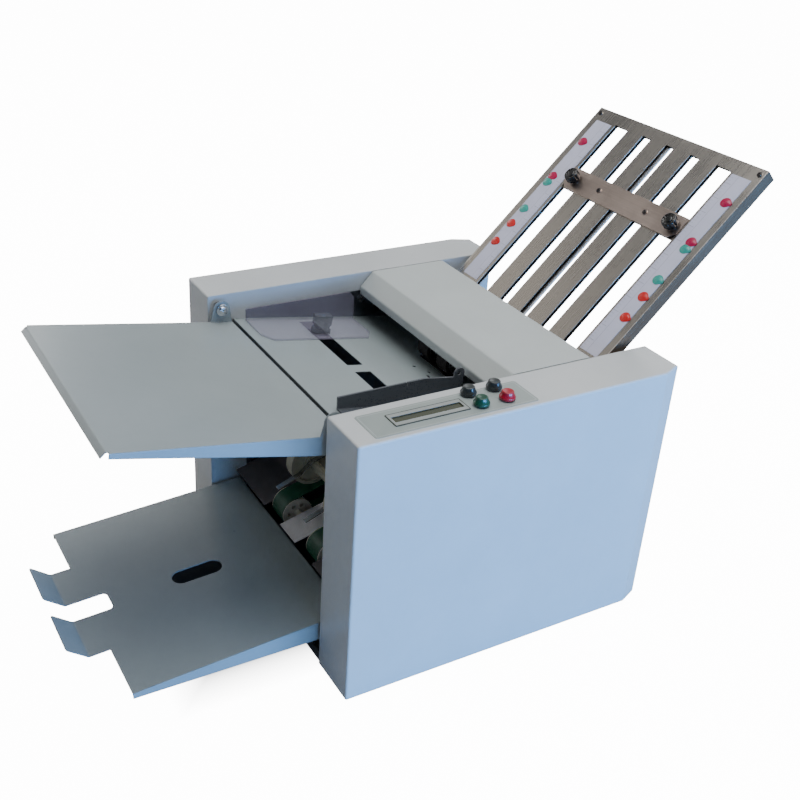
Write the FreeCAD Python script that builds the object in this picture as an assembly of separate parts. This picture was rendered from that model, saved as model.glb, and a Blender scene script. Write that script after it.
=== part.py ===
import FreeCAD, Part
import math
import os
from FreeCAD import Vector

# A desk paper folding machine.  Millimetres.  +X is the control panel side, -Y the feeding side,
# +Z up.  The origin lies on the desk, below the middle of the whole machine's length and width.

# Housing
foot_height = 8.0
foot_radius = 15.0
foot_inset = 45.0
cover_height = 361.0
cover_depth = 469.0
middle_depth = 181.4
cover_width = 74.0
inner_gap = 362.0
cover_sheet = 1.5
sheet_bend = 2.5
cover_edge_radius = 2.5
rear_bevel_width = 12.0
rear_bevel_depth = 28.0
top_return = 28.0
front_return = 56.0
rear_return = 30.0
base_sheet = 2.0
base_lip = 14.0
frame_sheet = 3.0
frame_height = 343.0
frame_front_set_back = 5.0
frame_rear_set_back = 6.0
frame_rear_chamfer = 60.0
frame_ear_length = 30.0
frame_ear_height = 14.0
tie_bar_radius = 6.0
side_clearance = 0.5

# Control panel on the right cover
overlay_thickness = 0.4
overlay_length = 221.0
overlay_width = 53.0
overlay_front = 26.0
overlay_from_gap = 13.0
display_length = 100.0
display_width = 27.0
display_front = 59.0
display_from_gap = 25.0
display_window_length = 92.0
display_window_width = 12.0
display_bezel_height = 0.9
display_recess = 3.0
display_module_side = 8.0
display_module_end = 4.0
display_module_depth = 6.0
button_radius = 10.0
button_top_radius = 6.5
button_height = 10.0
button_skirt = 3.0
button_dish_radius = 26.0
button_dish_depth = 0.8
button_travel = 1.5
button_pitch_x = 28.0
button_pitch_y = 36.5
button_front = 175.3
button_from_gap = 20.5
button_stem_radius = 4.0
button_clearance = 0.3
board_drop = 16.0
board_thickness = 1.6
board_front = 36.0
board_length = 197.0
board_width = 49.0
board_post_inset = 4.0
board_post_radius = 2.5
switch_half = 6.0
switch_height = 4.0

# Feed tray and feed table, in one plane that falls towards the rollers
feed_angle = 9.05
feed_height = 328.2
tray_half_width = 169.0
tray_reach = 249.0
tray_inner = 31.0
tray_sheet = 1.2
tray_outer_flange = 6.5
tray_inner_flange = 25.0
tray_lip = 9.0
tray_lip_angle = 50.0
corner_relief = 4.0
ear_pivot_depth = 15.0
ear_pivot_height = 345.0
ear_radius = 12.0
pivot_radius = 4.0
pivot_head_radius = 8.5
pivot_head_height = 3.0
pin_clearance = 0.05
table_front = 36.0
table_rear = 297.0
table_sheet = 1.2
table_flange = 18.0
table_slot_front = 131.0
table_slot_width = 24.0
table_slot_middle_gap = 21.0
table_slot_middle_x = -5.5
table_slot_end_x = 166.0
table_hole_radius = 2.5
table_window_depth = 23.0
table_window_margin = 4.0
table_mark_places = (30.0, 60.0, 90.0)
table_mark_back = 230.0
table_mark_size = (10.0, 4.0)
table_holes = ((-4.5, 229.0), (16.0, 241.0))

# Paper guides that slide across the feed table
guide_front = 51.5
guide_rear = 222.0
guide_sheet = 2.5
guide_flange = 72.0
guide_top_height = 338.0
left_guide_x = -172.0
right_guide_x = 106.0
guide_gap = 0.3
guide_corner = 13.0
guide_step_depth = 175.0
guide_ear_depth = 226.0
guide_ear_height = 335.0
guide_ear_radius = 7.5
guide_ear_hole = 2.5
guide_notch_depth = 148.0
guide_notch_width = 1.5
guide_notch_drop = 5.0
carrier_offset = 51.0
carrier_width = 14.0
carrier_length = 26.0
carrier_height = 26.0
carrier_foot_height = 7.0
carrier_waist_height = 5.0
carrier_waist_inset = 5.0
carrier_clearance = 0.5
tongue_width = 16.0
keeper_overlap = 5.0
keeper_thickness = 3.0

# Hood over the feed rollers
hood_half_width = 179.0
hood_bend = 5.0
hood_cheek_step = 14.0
hood_cheek_depth = 19.0
hood_sheet = 1.5
hood_front = 237.0
hood_lip_height = 328.5
hood_lip_top = 339.7
hood_bend_depth = 257.0
hood_rear = 380.0
hood_rear_flange = 16.0
hood_hinge_depth = 371.0
hood_hinge_height = 350.0
hood_pin_radius = 3.0
hood_pin_lug = 6.0
hood_stud_depth = 237.7
hood_stud_height = 322.0
hood_stud_radius = 3.5

# Rollers
roller_radius = 17.0
roller_gap = 0.3
roller_half_length = 170.0
journal_radius = 6.0
bearing_radius = 11.0
bearing_flange_radius = 13.5
bearing_flange = 1.5
nip_depth = 318.0
roller_grooves = (-114.0, -57.0, 0.0, 57.0, 114.0)
groove_width = 3.0
groove_depth = 1.0
rear_roller_angle = -5.0
low_roller_angle = -75.0
gear_teeth = 20
gear_width = 10.0
gear_gap = 4.0
gear_backlash = 0.16
feed_shaft_depth = 270.0
feed_tyre_radius = 20.0
feed_tyre_width = 24.0
feed_tyre_pitch = 48.0
feed_tyre_gap = 0.6
pad_width = 40.0
pad_length = 20.0
pad_thickness = 2.0
holder_plate = 3.0
holder_post = 17.0
holder_post_width = 24.0
holder_bar_radius = 5.0

# Motor and drive belt in the left cover
motor_depth = 120.0
motor_height = 60.0
motor_radius = 30.0
motor_length = 90.0
motor_cap_inset = 6.0
motor_cap_length = 8.0
motor_foot_inset = 10.0
motor_foot_height = 4.0
motor_saddle_half = 14.0
motor_fin_count = 4
motor_fin_pitch = 16.0
motor_groove_width = 4.0
motor_groove_depth = 2.0
motor_shaft_radius = 4.0
motor_pulley_radius = 12.0
drive_pulley_radius = 20.0
small_pulley_radius = 11.0
feed_pulley_radius = 15.0
pulley_rim = 1.5
pulley_width = 10.0
belt_thickness = 1.6
belt_gap = 0.45

# Upper fold plate
plate_angle = 44.4
plate_half_width = 172.0
plate_foot_back = -2.6
plate_foot_up = 30.7
plate_length = 412.0
plate_sheet = 1.2
plate_flange = 18.0
plate_space = 3.0
plate_slot_top = 18.5
plate_slot_bottom = 352.0
plate_slot_centres = (-105.0, -49.0, 0.0, 51.0, 107.0)
plate_slot_widths = (29.0, 18.0, 17.0, 19.0, 29.0)
back_slot_margin = 1.5
plate_edge_strip = 12.0
plate_fin_inset = 1.5
plate_fin_width = 5.5
plate_fin_thickness = 2.0
plate_screw_inset = 8.5
plate_screw_radius = 2.0
scale_inner = 125.5
scale_width = 34.0
scale_top = 22.0
scale_bottom = 330.0
scale_thickness = 0.5
stop_centre = 123.0
stop_width = 36.0
stop_half_length = 122.0
stop_thickness = 1.5
stop_travel_up = 80.0
stop_travel_down = 150.0
knob_radius = 11.0
knob_height = 15.0
knob_screw_radius = 2.5
stop_gap = 0.4
stop_corner = 8.0
stop_screw_radius = 2.5
stop_screw_head = 4.0
blade_clearance = 0.4
blade_margin = 6.0
blade_tongue_places = (-78.0, -24.0, 26.0, 79.0)
blade_tongue_width = 14.0
blade_tongue_length = 12.0
blade_post_radius = 4.0
hook_thickness = 3.0
hook_start = 10.0
hook_reach = 60.0
hook_depth = 30.0
hook_bite_at = 30.0
hook_bite = 12.0
hook_block_length = 14.0
hook_pin_length = 10.0
hook_pin_thickness = 5.7

# Lower fold plate inside the covers
lower_plate_angle = -47.0
lower_plate_depth = 350.0
lower_plate_height = 230.0
lower_plate_length = 150.0
lower_stop_at = 95.0
lower_stop_width = 24.0
lower_stop_travel = 35.0

# Delivery
delivery_shaft_depth = 72.5
delivery_shaft_height = 74.0
delivery_rear_depth = 270.0
delivery_rear_height = 135.0
delivery_shaft_radius = 5.0
delivery_lane_x = 55.0
delivery_pulley_radius = 21.0
delivery_rim_radius = 22.6
delivery_rim = 1.5
delivery_side_gap = 0.4
delivery_belt_width = 32.0
delivery_belt_thickness = 1.5
pulley_hole_count = 6
pulley_hole_ring = 12.5
pulley_hole_radius = 3.2
press_wheel_x = 57.5
press_wheel_radius = 34.0
press_wheel_width = 17.0
press_wheel_back = 48.0
press_rim_radius = 29.0
press_hub_radius = 12.0
press_web_recess = 3.5
press_gap = 0.4
guide_plate_front = 39.0
guide_plate_height = 72.8
guide_plate_angle = 15.5
guide_plate_rear = 255.0
guide_plate_sheet = 1.2
guide_plate_middle = 24.0
guide_plate_side = 77.0
guide_rail_radius = 6.0
guide_rail_drop = 7.0
guide_rail_depths = (165.0, 235.0)
finger_x = 44.0
finger_width = 8.0
finger_sheet = 1.0
finger_tip_depth = 43.0
finger_tip_height = 120.0
finger_rise = 22.0
finger_flat = 38.0
finger_over_gap = 3.5
finger_over_angle = 107.4
finger_rail_depth = 143.0
finger_rail_height = 165.0
finger_rail_radius = 5.0

# Delivery tray
catch_angle = 4.24
catch_height = 59.7
catch_half_width = 174.5
catch_reach = 239.0
catch_inner = 42.0
catch_sheet = 1.2
catch_outer_flange = 8.0
catch_inner_flange = 30.0
finger_inner = 17.0
finger_outer = 89.0
finger_reach = 26.0
finger_tip_length = 33.0
finger_tip_angle = 42.0
finger_notch_depth = 27.0
finger_notch_radius = 6.0
finger_bend = 5.0
finger_corner_radius = 4.0
hand_slot_front = 128.5
hand_slot_length = 69.0
hand_slot_width = 27.0
catch_bar_depth = 28.0
catch_bar_height = 42.0

# Rear panel
rear_panel_height = 96.0
louvre_count = 9
louvre_first_x = -20.0
louvre_pitch = 14.0
louvre_width = 5.0
louvre_height = 28.0
inlet_width = 48.0
inlet_height = 28.0
inlet_depth = 24.0
rocker_width = 13.0
rocker_height = 20.0
rocker_sink = 3.0
rocker_pin_radius = 1.5
rocker_pin_length = 1.6
inlet_x = -140.0
inlet_lift = 40.0
rocker_x = -98.0

# Values that follow from the sizes above
front_y = -middle_depth
rear_y = cover_depth - middle_depth
inner_x = inner_gap / 2
outer_x = inner_x + cover_width
frame_x = inner_x + cover_sheet
frame_out_x = frame_x + frame_sheet
cover_top = foot_height + cover_height
floor_x = outer_x - cover_sheet


def depth(value):
    """A distance back from the covers' front faces, as a Y place."""
    return front_y + value


def height(value):
    """A height above the covers' lower edges, as a Z place."""
    return foot_height + value


def box(x0, x1, y0, y1, z0, z1):
    return Part.makeBox(x1 - x0, y1 - y0, z1 - z0, Vector(x0, y0, z0))


def rod_x(y, z, radius, x0, x1):
    return Part.makeCylinder(radius, x1 - x0, Vector(x0, y, z), Vector(1, 0, 0))


def rod_z(x, y, radius, z0, z1):
    return Part.makeCylinder(radius, z1 - z0, Vector(x, y, z0), Vector(0, 0, 1))


def prism_x(points, x0, x1):
    """A closed outline of (y, z) points, carried along X."""
    corners = [Vector(x0, y, z) for y, z in points]
    face = Part.Face(Part.makePolygon(corners + [corners[0]]))
    return face.extrude(Vector(x1 - x0, 0, 0))


def prism_z(points, z0, z1):
    """A closed outline of (x, y) points, carried along Z."""
    corners = [Vector(x, y, z0) for x, y in points]
    face = Part.Face(Part.makePolygon(corners + [corners[0]]))
    return face.extrude(Vector(0, 0, z1 - z0))


def mirror_x(shape):
    return shape.mirror(Vector(0, 0, 0), Vector(1, 0, 0))


def on_slope(shape, back, up, angle):
    """Moves a shape from a flat frame to one that starts at (back, up) and rises by angle."""
    turn = FreeCAD.Rotation(Vector(1, 0, 0), angle)
    place = FreeCAD.Placement(Vector(0, depth(back), height(up)), turn)
    moved = shape.copy()
    moved.Placement = place.multiply(moved.Placement)
    return moved


def join(shapes):
    result = shapes[0]
    for shape in shapes[1:]:
        result = result.fuse(shape)
    return result.removeSplitter()


def strip(points, thickness):
    """The outline of a bent sheet: a line of (y, z) points and the same line set off to its left."""
    offset = []
    for index, (y, z) in enumerate(points):
        before = points[max(index - 1, 0)]
        after = points[min(index + 1, len(points) - 1)]
        normals = []
        for start, end in ((before, (y, z)), ((y, z), after)):
            run = math.hypot(end[0] - start[0], end[1] - start[1])
            if run > 0:
                normals.append(((start[1] - end[1]) / run, (end[0] - start[0]) / run))
        ny = sum(n[0] for n in normals)
        nz = sum(n[1] for n in normals)
        length = math.hypot(ny, nz)
        ny, nz = ny / length, nz / length
        reach = thickness / (ny * normals[0][0] + nz * normals[0][1])
        offset.append((y + ny * reach, z + nz * reach))
    return list(points) + offset[::-1]


def bent(points, radius, steps=4):
    """The same line of (y, z) points with each inner corner taken round on an arc."""
    line = [points[0]]
    for before, corner, after in zip(points, points[1:], points[2:]):
        to_before = Vector(0, before[0] - corner[0], before[1] - corner[1]).normalize()
        to_after = Vector(0, after[0] - corner[0], after[1] - corner[1]).normalize()
        half = to_before.getAngle(to_after) / 2
        middle = (to_before + to_after).normalize() * (radius / math.sin(half))
        start = to_before * (radius / math.tan(half)) - middle
        end = to_after * (radius / math.tan(half)) - middle
        for step in range(steps + 1):
            share = step / steps
            spoke = (start * (1 - share) + end * share).normalize() * radius + middle
            line.append((corner[0] + spoke.y, corner[1] + spoke.z))
    line.append(points[-1])
    return line


def rounded_slot(x0, x1, y0, y1, z0, z1, radius):
    """A block with its four upright edges rounded."""
    block = box(x0, x1, y0, y1, z0, z1)
    upright = [edge for edge in block.Edges if abs(edge.tangentAt(edge.FirstParameter).z) > 0.99]
    return block.makeFillet(radius, upright)


# Where the shafts are
feed_fall = math.tan(math.radians(feed_angle))
feed_normal = (math.sin(math.radians(feed_angle)), math.cos(math.radians(feed_angle)))
roller_pitch = 2 * roller_radius + roller_gap


def paper_height(back):
    return feed_height - feed_fall * back


def feed_roller_centre(back, distance):
    """A centre at a distance above the paper that passes at this depth."""
    return (back + feed_normal[0] * distance, paper_height(back) + feed_normal[1] * distance)


def around(centre, angle, distance):
    turn = math.radians(angle)
    return (centre[0] + distance * math.cos(turn), centre[1] + distance * math.sin(turn))


def journal_at(centre):
    """The radius of the journal that turns in this centre's bushes."""
    if centre in (delivery_front_centre, delivery_rear_centre):
        return delivery_shaft_radius
    return journal_radius


top_roller = feed_roller_centre(nip_depth, roller_pitch / 2)
main_roller = feed_roller_centre(nip_depth, -roller_pitch / 2)
rear_roller = around(main_roller, rear_roller_angle, roller_pitch)
low_roller = around(main_roller, low_roller_angle, roller_pitch)
feed_shaft_centre = feed_roller_centre(feed_shaft_depth, feed_tyre_radius + feed_tyre_gap)
delivery_front_centre = (delivery_shaft_depth, delivery_shaft_height)
delivery_rear_centre = (delivery_rear_depth, delivery_rear_height)
delivery_run = math.hypot(delivery_rear_depth - delivery_shaft_depth,
                          delivery_rear_height - delivery_shaft_height)
delivery_slope = math.degrees(math.atan2(delivery_rear_height - delivery_shaft_height,
                                         delivery_rear_depth - delivery_shaft_depth))
press_reach = (delivery_pulley_radius + delivery_belt_thickness + belt_gap + press_gap
               + press_wheel_radius)
press_centre = around(around(delivery_front_centre, delivery_slope, press_wheel_back),
                      delivery_slope + 90.0, press_reach)
shaft_centres = [top_roller, main_roller, rear_roller, low_roller, feed_shaft_centre,
                 delivery_front_centre, delivery_rear_centre, press_centre]
motor_centre = (motor_depth, motor_height)
plate_foot = (rear_roller[0] + plate_foot_back, rear_roller[1] + plate_foot_up)
plate_top = around(plate_foot, plate_angle, plate_length)
drive_belt_x = -(frame_out_x + gear_gap + gear_width + 3 * gear_gap)
outer_belt_x = drive_belt_x - 14.0
front_tie_bars = [(13.0, 26.6), (catch_bar_depth, catch_bar_height)]
tie_bar_places = front_tie_bars + [(120.0, 250.0), (250.0, 40.0), (430.0, 250.0), (400.0, 30.0)]


# Housing
def make_base_plate():
    front = front_y + cover_sheet + side_clearance
    rear = panel_face()
    plate = box(-floor_x + side_clearance, floor_x - side_clearance, front, rear,
                foot_height, foot_height + base_sheet)
    front_lip = box(-inner_x + 1, inner_x - 1, front, front + base_sheet,
                    foot_height, foot_height + base_lip)
    panel = box(-inner_x + 1, inner_x - 1, rear - base_sheet, rear,
                foot_height, foot_height + rear_panel_height)
    plate = plate.fuse(front_lip).fuse(panel)
    x0, x1, z0, z1 = power_place()
    plate = plate.cut(box(x0 - 0.3, x1 + 0.3, rear - 5, rear + 1, z0 - 0.3, z1 + 0.3))
    for index in range(louvre_count):
        x = louvre_first_x + index * louvre_pitch
        louvre = rounded_slot(x, x + louvre_width, -louvre_height / 2, louvre_height / 2, -4, 4,
                              louvre_width / 2 - 0.01)
        louvre.rotate(Vector(0, 0, 0), Vector(1, 0, 0), 90)
        louvre.translate(Vector(0, rear - 1, foot_height + rear_panel_height / 2))
        plate = plate.cut(louvre)
    corner = rear_bevel_width + 2
    for side in (-1, 1):
        cut = box(-corner, corner, -rear_bevel_depth - 2, 6, -1, base_sheet + 1)
        cut.translate(Vector(side * (floor_x + side_clearance), rear, foot_height))
        plate = plate.cut(cut)
    return plate.removeSplitter()


def make_feet():
    feet = []
    for x in (foot_inset - outer_x, outer_x - foot_inset):
        for y in (front_y + foot_inset, rear_y - foot_inset):
            foot = Part.makeCone(foot_radius - 2, foot_radius, foot_height, Vector(x, y, 0))
            feet.append(foot)
    return Part.makeCompound(feet)


def frame_outline():
    front = depth(frame_front_set_back)
    rear = rear_y - frame_rear_set_back
    low = foot_height + base_sheet
    top = height(frame_height)
    return [(front, low), (rear, low), (rear, top - frame_rear_chamfer), (rear - frame_rear_chamfer, top),
            (front + frame_ear_length, top + frame_ear_height), (front, top + frame_ear_height)]


def make_frame_plate(side):
    x0 = frame_x if side > 0 else -frame_out_x
    plate = prism_x(frame_outline(), x0, x0 + frame_sheet)
    for back, up in shaft_centres:
        plate = plate.cut(rod_x(depth(back), height(up), bearing_radius, x0 - 1, x0 + frame_sheet + 1))
    plate = plate.cut(rod_x(depth(ear_pivot_depth), height(ear_pivot_height), pivot_radius,
                            x0 - 1, x0 + frame_sheet + 1))
    plate = plate.cut(rod_x(depth(hood_hinge_depth), height(hood_hinge_height), hood_pin_radius,
                            x0 - 1, x0 + frame_sheet + 1))
    if side < 0:
        plate = plate.cut(rod_x(depth(motor_depth), height(motor_height), motor_shaft_radius + 6,
                                x0 - 1, x0 + frame_sheet + 1))
    return plate


def make_tie_bars():
    bars = []
    for back, up in tie_bar_places:
        bars.append(rod_x(depth(back), height(up), tie_bar_radius, -frame_x, frame_x))
    return Part.makeCompound(bars)


def cover_plan(inset):
    """The cover's plan, set in from its outside by inset, from the machine's side outwards."""
    x1 = outer_x - inset
    y0 = front_y + inset
    y1 = rear_y - inset
    slope = rear_bevel_width / rear_bevel_depth
    shift = inset * (math.hypot(1, slope) - 1)
    bevel_y = y1 - rear_bevel_depth + shift
    bevel_x = x1 - rear_bevel_width + shift * slope
    return [(inner_x, y0), (x1, y0), (x1, bevel_y), (bevel_x, y1), (inner_x, y1)]


def clear_of_returns(shape):
    """Trims the ends of a cross piece beside the covers' front and rear returns."""
    ends = ((front_y, front_y + front_return + side_clearance),
            (rear_y - rear_return - side_clearance, rear_y))
    for y0, y1 in ends:
        trim = box(inner_x - side_clearance, frame_x + 1, y0, y1, 0, cover_top)
        shape = shape.cut(trim).cut(mirror_x(trim))
    return shape


def make_right_cover():
    outside = prism_z(cover_plan(0), foot_height, cover_top)
    edges = []
    for edge in outside.Edges:
        middle = edge.valueAt((edge.FirstParameter + edge.LastParameter) / 2)
        upright = abs(edge.tangentAt(edge.FirstParameter).z) > 0.99
        front_upright = upright and abs(middle.x - outer_x) < 0.1 and abs(middle.y - front_y) < 0.1
        top_edge = abs(middle.z - cover_top) < 0.1 and middle.x > inner_x + 1
        if front_upright or top_edge:
            edges.append(edge)
    outside = outside.makeFillet(cover_edge_radius, edges)
    inside = prism_z(cover_plan(cover_sheet), foot_height - 1, cover_top - cover_sheet)
    inside = inside.common(box(inner_x + cover_sheet, outer_x, front_y, rear_y, 0, cover_top))
    window = box(inner_x - 1, inner_x + cover_sheet + 1, front_y + front_return, rear_y - rear_return,
                 0, cover_top - top_return)
    base_slot = box(inner_x - 1, inner_x + cover_sheet + 1, front_y + cover_sheet, rear_y - cover_sheet,
                    foot_height - 1, foot_height + base_sheet + side_clearance)
    shell = outside.cut(inside).cut(window).cut(base_slot)
    for back, up in front_tie_bars:
        shell = shell.cut(rod_x(depth(back), height(up), tie_bar_radius + side_clearance,
                                inner_x - 1, frame_x + 1))
    pivot = rod_x(depth(ear_pivot_depth), height(ear_pivot_height), pivot_radius + 1,
                  inner_x - 1, frame_x + 1)
    hood_pin = rod_x(depth(hood_hinge_depth), height(hood_hinge_height), hood_pin_radius + 2.5,
                     inner_x - 1, frame_x + 1)
    return shell.cut(pivot).cut(hood_pin)


def display_place():
    x0 = inner_x + display_from_gap
    y0 = depth(display_front)
    return x0, x0 + display_width, y0, y0 + display_length


def window_place():
    x0, x1, y0, y1 = display_place()
    middle_x = (x0 + x1) / 2
    middle_y = (y0 + y1) / 2
    return (middle_x - display_window_width / 2, middle_x + display_window_width / 2,
            middle_y - display_window_length / 2, middle_y + display_window_length / 2)


def button_places():
    x = inner_x + button_from_gap
    y = depth(button_front)
    return {"black_button_front": (x, y),
            "black_button_rear": (x, y + button_pitch_y),
            "green_button": (x + button_pitch_x, y),
            "red_button": (x + button_pitch_x, y + button_pitch_y)}


def cut_panel_holes(shape, low, high):
    x0, x1, y0, y1 = window_place()
    shape = shape.cut(box(x0 - 1, x1 + 1, y0 - 1, y1 + 1, low, high))
    for x, y in button_places().values():
        shape = shape.cut(rod_z(x, y, button_stem_radius + button_clearance, low, high))
    return shape


def make_panel_cover():
    cover = make_right_cover()
    return cut_panel_holes(cover, cover_top - 5, cover_top + 1)


def make_overlay():
    x0 = inner_x + overlay_from_gap
    y0 = depth(overlay_front)
    plate = rounded_slot(x0, x0 + overlay_width, y0, y0 + overlay_length, cover_top,
                         cover_top + overlay_thickness, 4.0)
    return cut_panel_holes(plate, cover_top - 1, cover_top + 2)


def make_display_bezel():
    x0, x1, y0, y1 = display_place()
    low = cover_top + overlay_thickness
    bezel = rounded_slot(x0, x1, y0, y1, low, low + display_bezel_height, 1.0)
    wx0, wx1, wy0, wy1 = window_place()
    bezel = bezel.cut(box(wx0, wx1, wy0, wy1, low - 1, low + 2))
    return bezel


def make_display_window():
    x0, x1, y0, y1 = window_place()
    top = cover_top - 0.2
    glass = box(x0 - 0.8, x1 + 0.8, y0 - 0.8, y1 + 0.8, top - display_recess, top)
    module = box(x0 - display_module_side, x1 + display_module_side, y0 - display_module_end,
                 y1 + display_module_end, top - display_recess - display_module_depth,
                 top - display_recess)
    return glass.fuse(module)


def make_circuit_board():
    x0 = inner_x + overlay_from_gap
    y0 = depth(board_front)
    top = cover_top - board_drop
    x1 = x0 + board_width
    y1 = y0 + board_length
    board = box(x0, x1, y0, y1, top - board_thickness, top)
    posts = []
    for px in (x0 + board_post_inset, x1 - board_post_inset):
        for py in (y0 + board_post_inset, y1 - board_post_inset):
            posts.append(rod_z(px, py, board_post_radius, top, cover_top - cover_sheet))
    wx0, wx1, wy0, wy1 = window_place()
    under = cover_top - 0.2 - display_recess - display_module_depth
    posts.append(box(wx0, wx1, wy0, wy1, top, under))
    switches = []
    for x, y in button_places().values():
        switches.append(box(x - switch_half, x + switch_half, y - switch_half, y + switch_half,
                            top - 0.1, top + switch_height))
    return join([board] + posts + switches)


def make_button(x, y):
    """A round cap that narrows towards its dished top, on a stem down to its switch."""
    low = cover_top + overlay_thickness + button_travel + 0.2
    ring = Part.makeCylinder(button_radius, button_skirt, Vector(x, y, low))
    cone = Part.makeCone(button_radius, button_top_radius, button_height - button_skirt,
                         Vector(x, y, low + button_skirt))
    cap = ring.fuse(cone)
    rim = [edge for edge in cap.Edges
           if abs(edge.BoundBox.ZMin - low - button_height) < 0.01 and edge.Length > 30]
    cap = cap.makeFillet(1.2, rim)
    dish = Part.makeSphere(button_dish_radius,
                           Vector(x, y, low + button_height + button_dish_radius - button_dish_depth))
    cap = cap.cut(dish)
    stem_low = cover_top - board_drop + switch_height + button_travel + 0.1
    stem = rod_z(x, y, button_stem_radius, stem_low, low + 1)
    return cap.fuse(stem).removeSplitter()


# Feed tray and table
def make_feed_tray():
    slope = math.cos(math.radians(feed_angle))
    outer = -tray_reach
    inner = tray_inner / slope
    half = tray_half_width
    sheet = tray_sheet
    turn = math.radians(tray_lip_angle)
    lip_end = (outer - tray_lip * math.cos(turn), -tray_lip * math.sin(turn))
    lip_line = bent([(inner, 0), (outer, 0), lip_end], sheet_bend)
    top = prism_x(strip(lip_line, sheet), -half, half)
    flange = [(outer, -sheet / 2), (inner, -sheet / 2), (inner, -tray_inner_flange),
              (inner - 30, -tray_inner_flange), (outer, -tray_outer_flange)]
    sides = [prism_x(flange, half - sheet, half), prism_x(flange, -half, -half + sheet)]
    stiff = prism_x([(inner - sheet, -sheet / 2), (inner, -sheet / 2), (inner, -12), (inner - sheet, -12)],
                    -half, half)
    flat_tray = join([top] + sides + [stiff])
    for side in (-1, 1):
        relief = box(-corner_relief, corner_relief, outer - 2 * tray_lip, outer + sheet_bend,
                     -2 * tray_lip, 1)
        relief.translate(Vector(side * half, 0, 0))
        flat_tray = flat_tray.cut(relief)
    tray = on_slope(flat_tray, 0, feed_height, -feed_angle)
    ears = []
    for side in (-1, 1):
        x0 = side * (half - sheet / 2) - sheet / 2
        foot = [(-3.0, paper_height(-3.0) - 6), (tray_inner, paper_height(tray_inner) - 6),
                (ear_pivot_depth + ear_radius, ear_pivot_height),
                (ear_pivot_depth - ear_radius, ear_pivot_height)]
        plate = prism_x([(depth(y), height(z)) for y, z in foot], x0, x0 + sheet)
        disc = rod_x(depth(ear_pivot_depth), height(ear_pivot_height), ear_radius, x0, x0 + sheet)
        hole = rod_x(depth(ear_pivot_depth), height(ear_pivot_height), pivot_radius + pin_clearance,
                     x0 - 1, x0 + sheet + 1)
        ears.append(plate.fuse(disc).cut(hole))
    return join([tray] + ears)


def make_tray_pivots():
    """Shoulder screws that carry the tray's ears, with a spacer sleeve out to the frame."""
    pins = []
    for side in (-1, 1):
        y, z = depth(ear_pivot_depth), height(ear_pivot_height)
        inside = tray_half_width - tray_sheet - 0.2
        head = rod_x(y, z, pivot_head_radius, inside - pivot_head_height, inside)
        shank = rod_x(y, z, pivot_radius, inside - 1, frame_out_x + 3)
        sleeve = rod_x(y, z, pivot_radius + 2.5, tray_half_width + 0.2, inner_x - 0.2)
        pin = join([head, shank, sleeve])
        socket = box(inside - pivot_head_height - 1, inside - pivot_head_height + 1.5,
                     y - 0.8, y + 0.8, z - pivot_head_radius, z + pivot_head_radius)
        pin = pin.cut(socket)
        pins.append(pin if side > 0 else mirror_x(pin))
    return Part.makeCompound(pins)


def table_slots():
    """The two slots that the paper guides' carriers run in."""
    left_end = table_slot_middle_x - table_slot_middle_gap / 2
    right_end = table_slot_middle_x + table_slot_middle_gap / 2
    return [(-table_slot_end_x, left_end), (right_end, table_slot_end_x)]


def make_feed_table():
    slope = math.cos(math.radians(feed_angle))
    v0 = table_front / slope
    v1 = table_rear / slope
    sheet = table_sheet
    half = frame_x
    front_half = inner_x - side_clearance
    top = box(-half, half, v0, v1, -sheet, 0)
    shoulder = (front_return + 3) / slope
    for side in (-1, 1):
        notch = box(0, half, v0 - 1, shoulder, -sheet - 1, 1)
        notch.translate(Vector(front_half if side > 0 else -front_half - half, 0, 0))
        top = top.cut(notch)
    flanges = [box(half - sheet, half, shoulder, v1, -table_flange, -sheet / 2),
               box(-half, -half + sheet, shoulder, v1, -table_flange, -sheet / 2),
               box(-front_half, front_half, v0, v0 + sheet, -10, -sheet / 2)]
    table = join([top] + flanges)
    s0 = table_slot_front / slope
    for x0, x1 in table_slots():
        table = table.cut(rounded_slot(x0, x1, s0, s0 + table_slot_width, -5, 1, 1.5))
    window_back = feed_shaft_depth / slope
    reach = feed_tyre_pitch / 2 + feed_tyre_width / 2 + table_window_margin
    table = table.cut(box(-reach, reach, window_back - table_window_depth / 2,
                          window_back + table_window_depth / 2, -5, 1))
    mark_width, mark_length = table_mark_size
    mark_v = table_mark_back / slope
    for x in table_mark_places:
        table = table.cut(box(x - mark_width / 2, x + mark_width / 2, mark_v, mark_v + mark_length, -5, 1))
    for x, back in table_holes:
        table = table.cut(rod_z(x, back / slope, table_hole_radius, -5, 1))
    return on_slope(table, 0, feed_height, -feed_angle)


def guide_surface(back):
    return paper_height(back) + guide_gap


def left_guide_outline():
    """A level-topped upright with an eased rear corner."""
    return [(guide_front, guide_surface(guide_front)), (guide_rear, guide_surface(guide_rear)),
            (guide_rear, guide_top_height - 8), (guide_rear - 8, guide_top_height),
            (guide_front, guide_top_height)]


def right_guide_outline():
    """An upright whose top steps down at the rear."""
    return [(guide_front, guide_surface(guide_front)), (guide_rear + 8, guide_surface(guide_rear + 8)),
            (guide_rear + 8, guide_top_height - 9), (guide_rear - 3, guide_top_height - 7),
            (guide_step_depth, guide_top_height), (guide_front, guide_top_height)]


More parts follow.
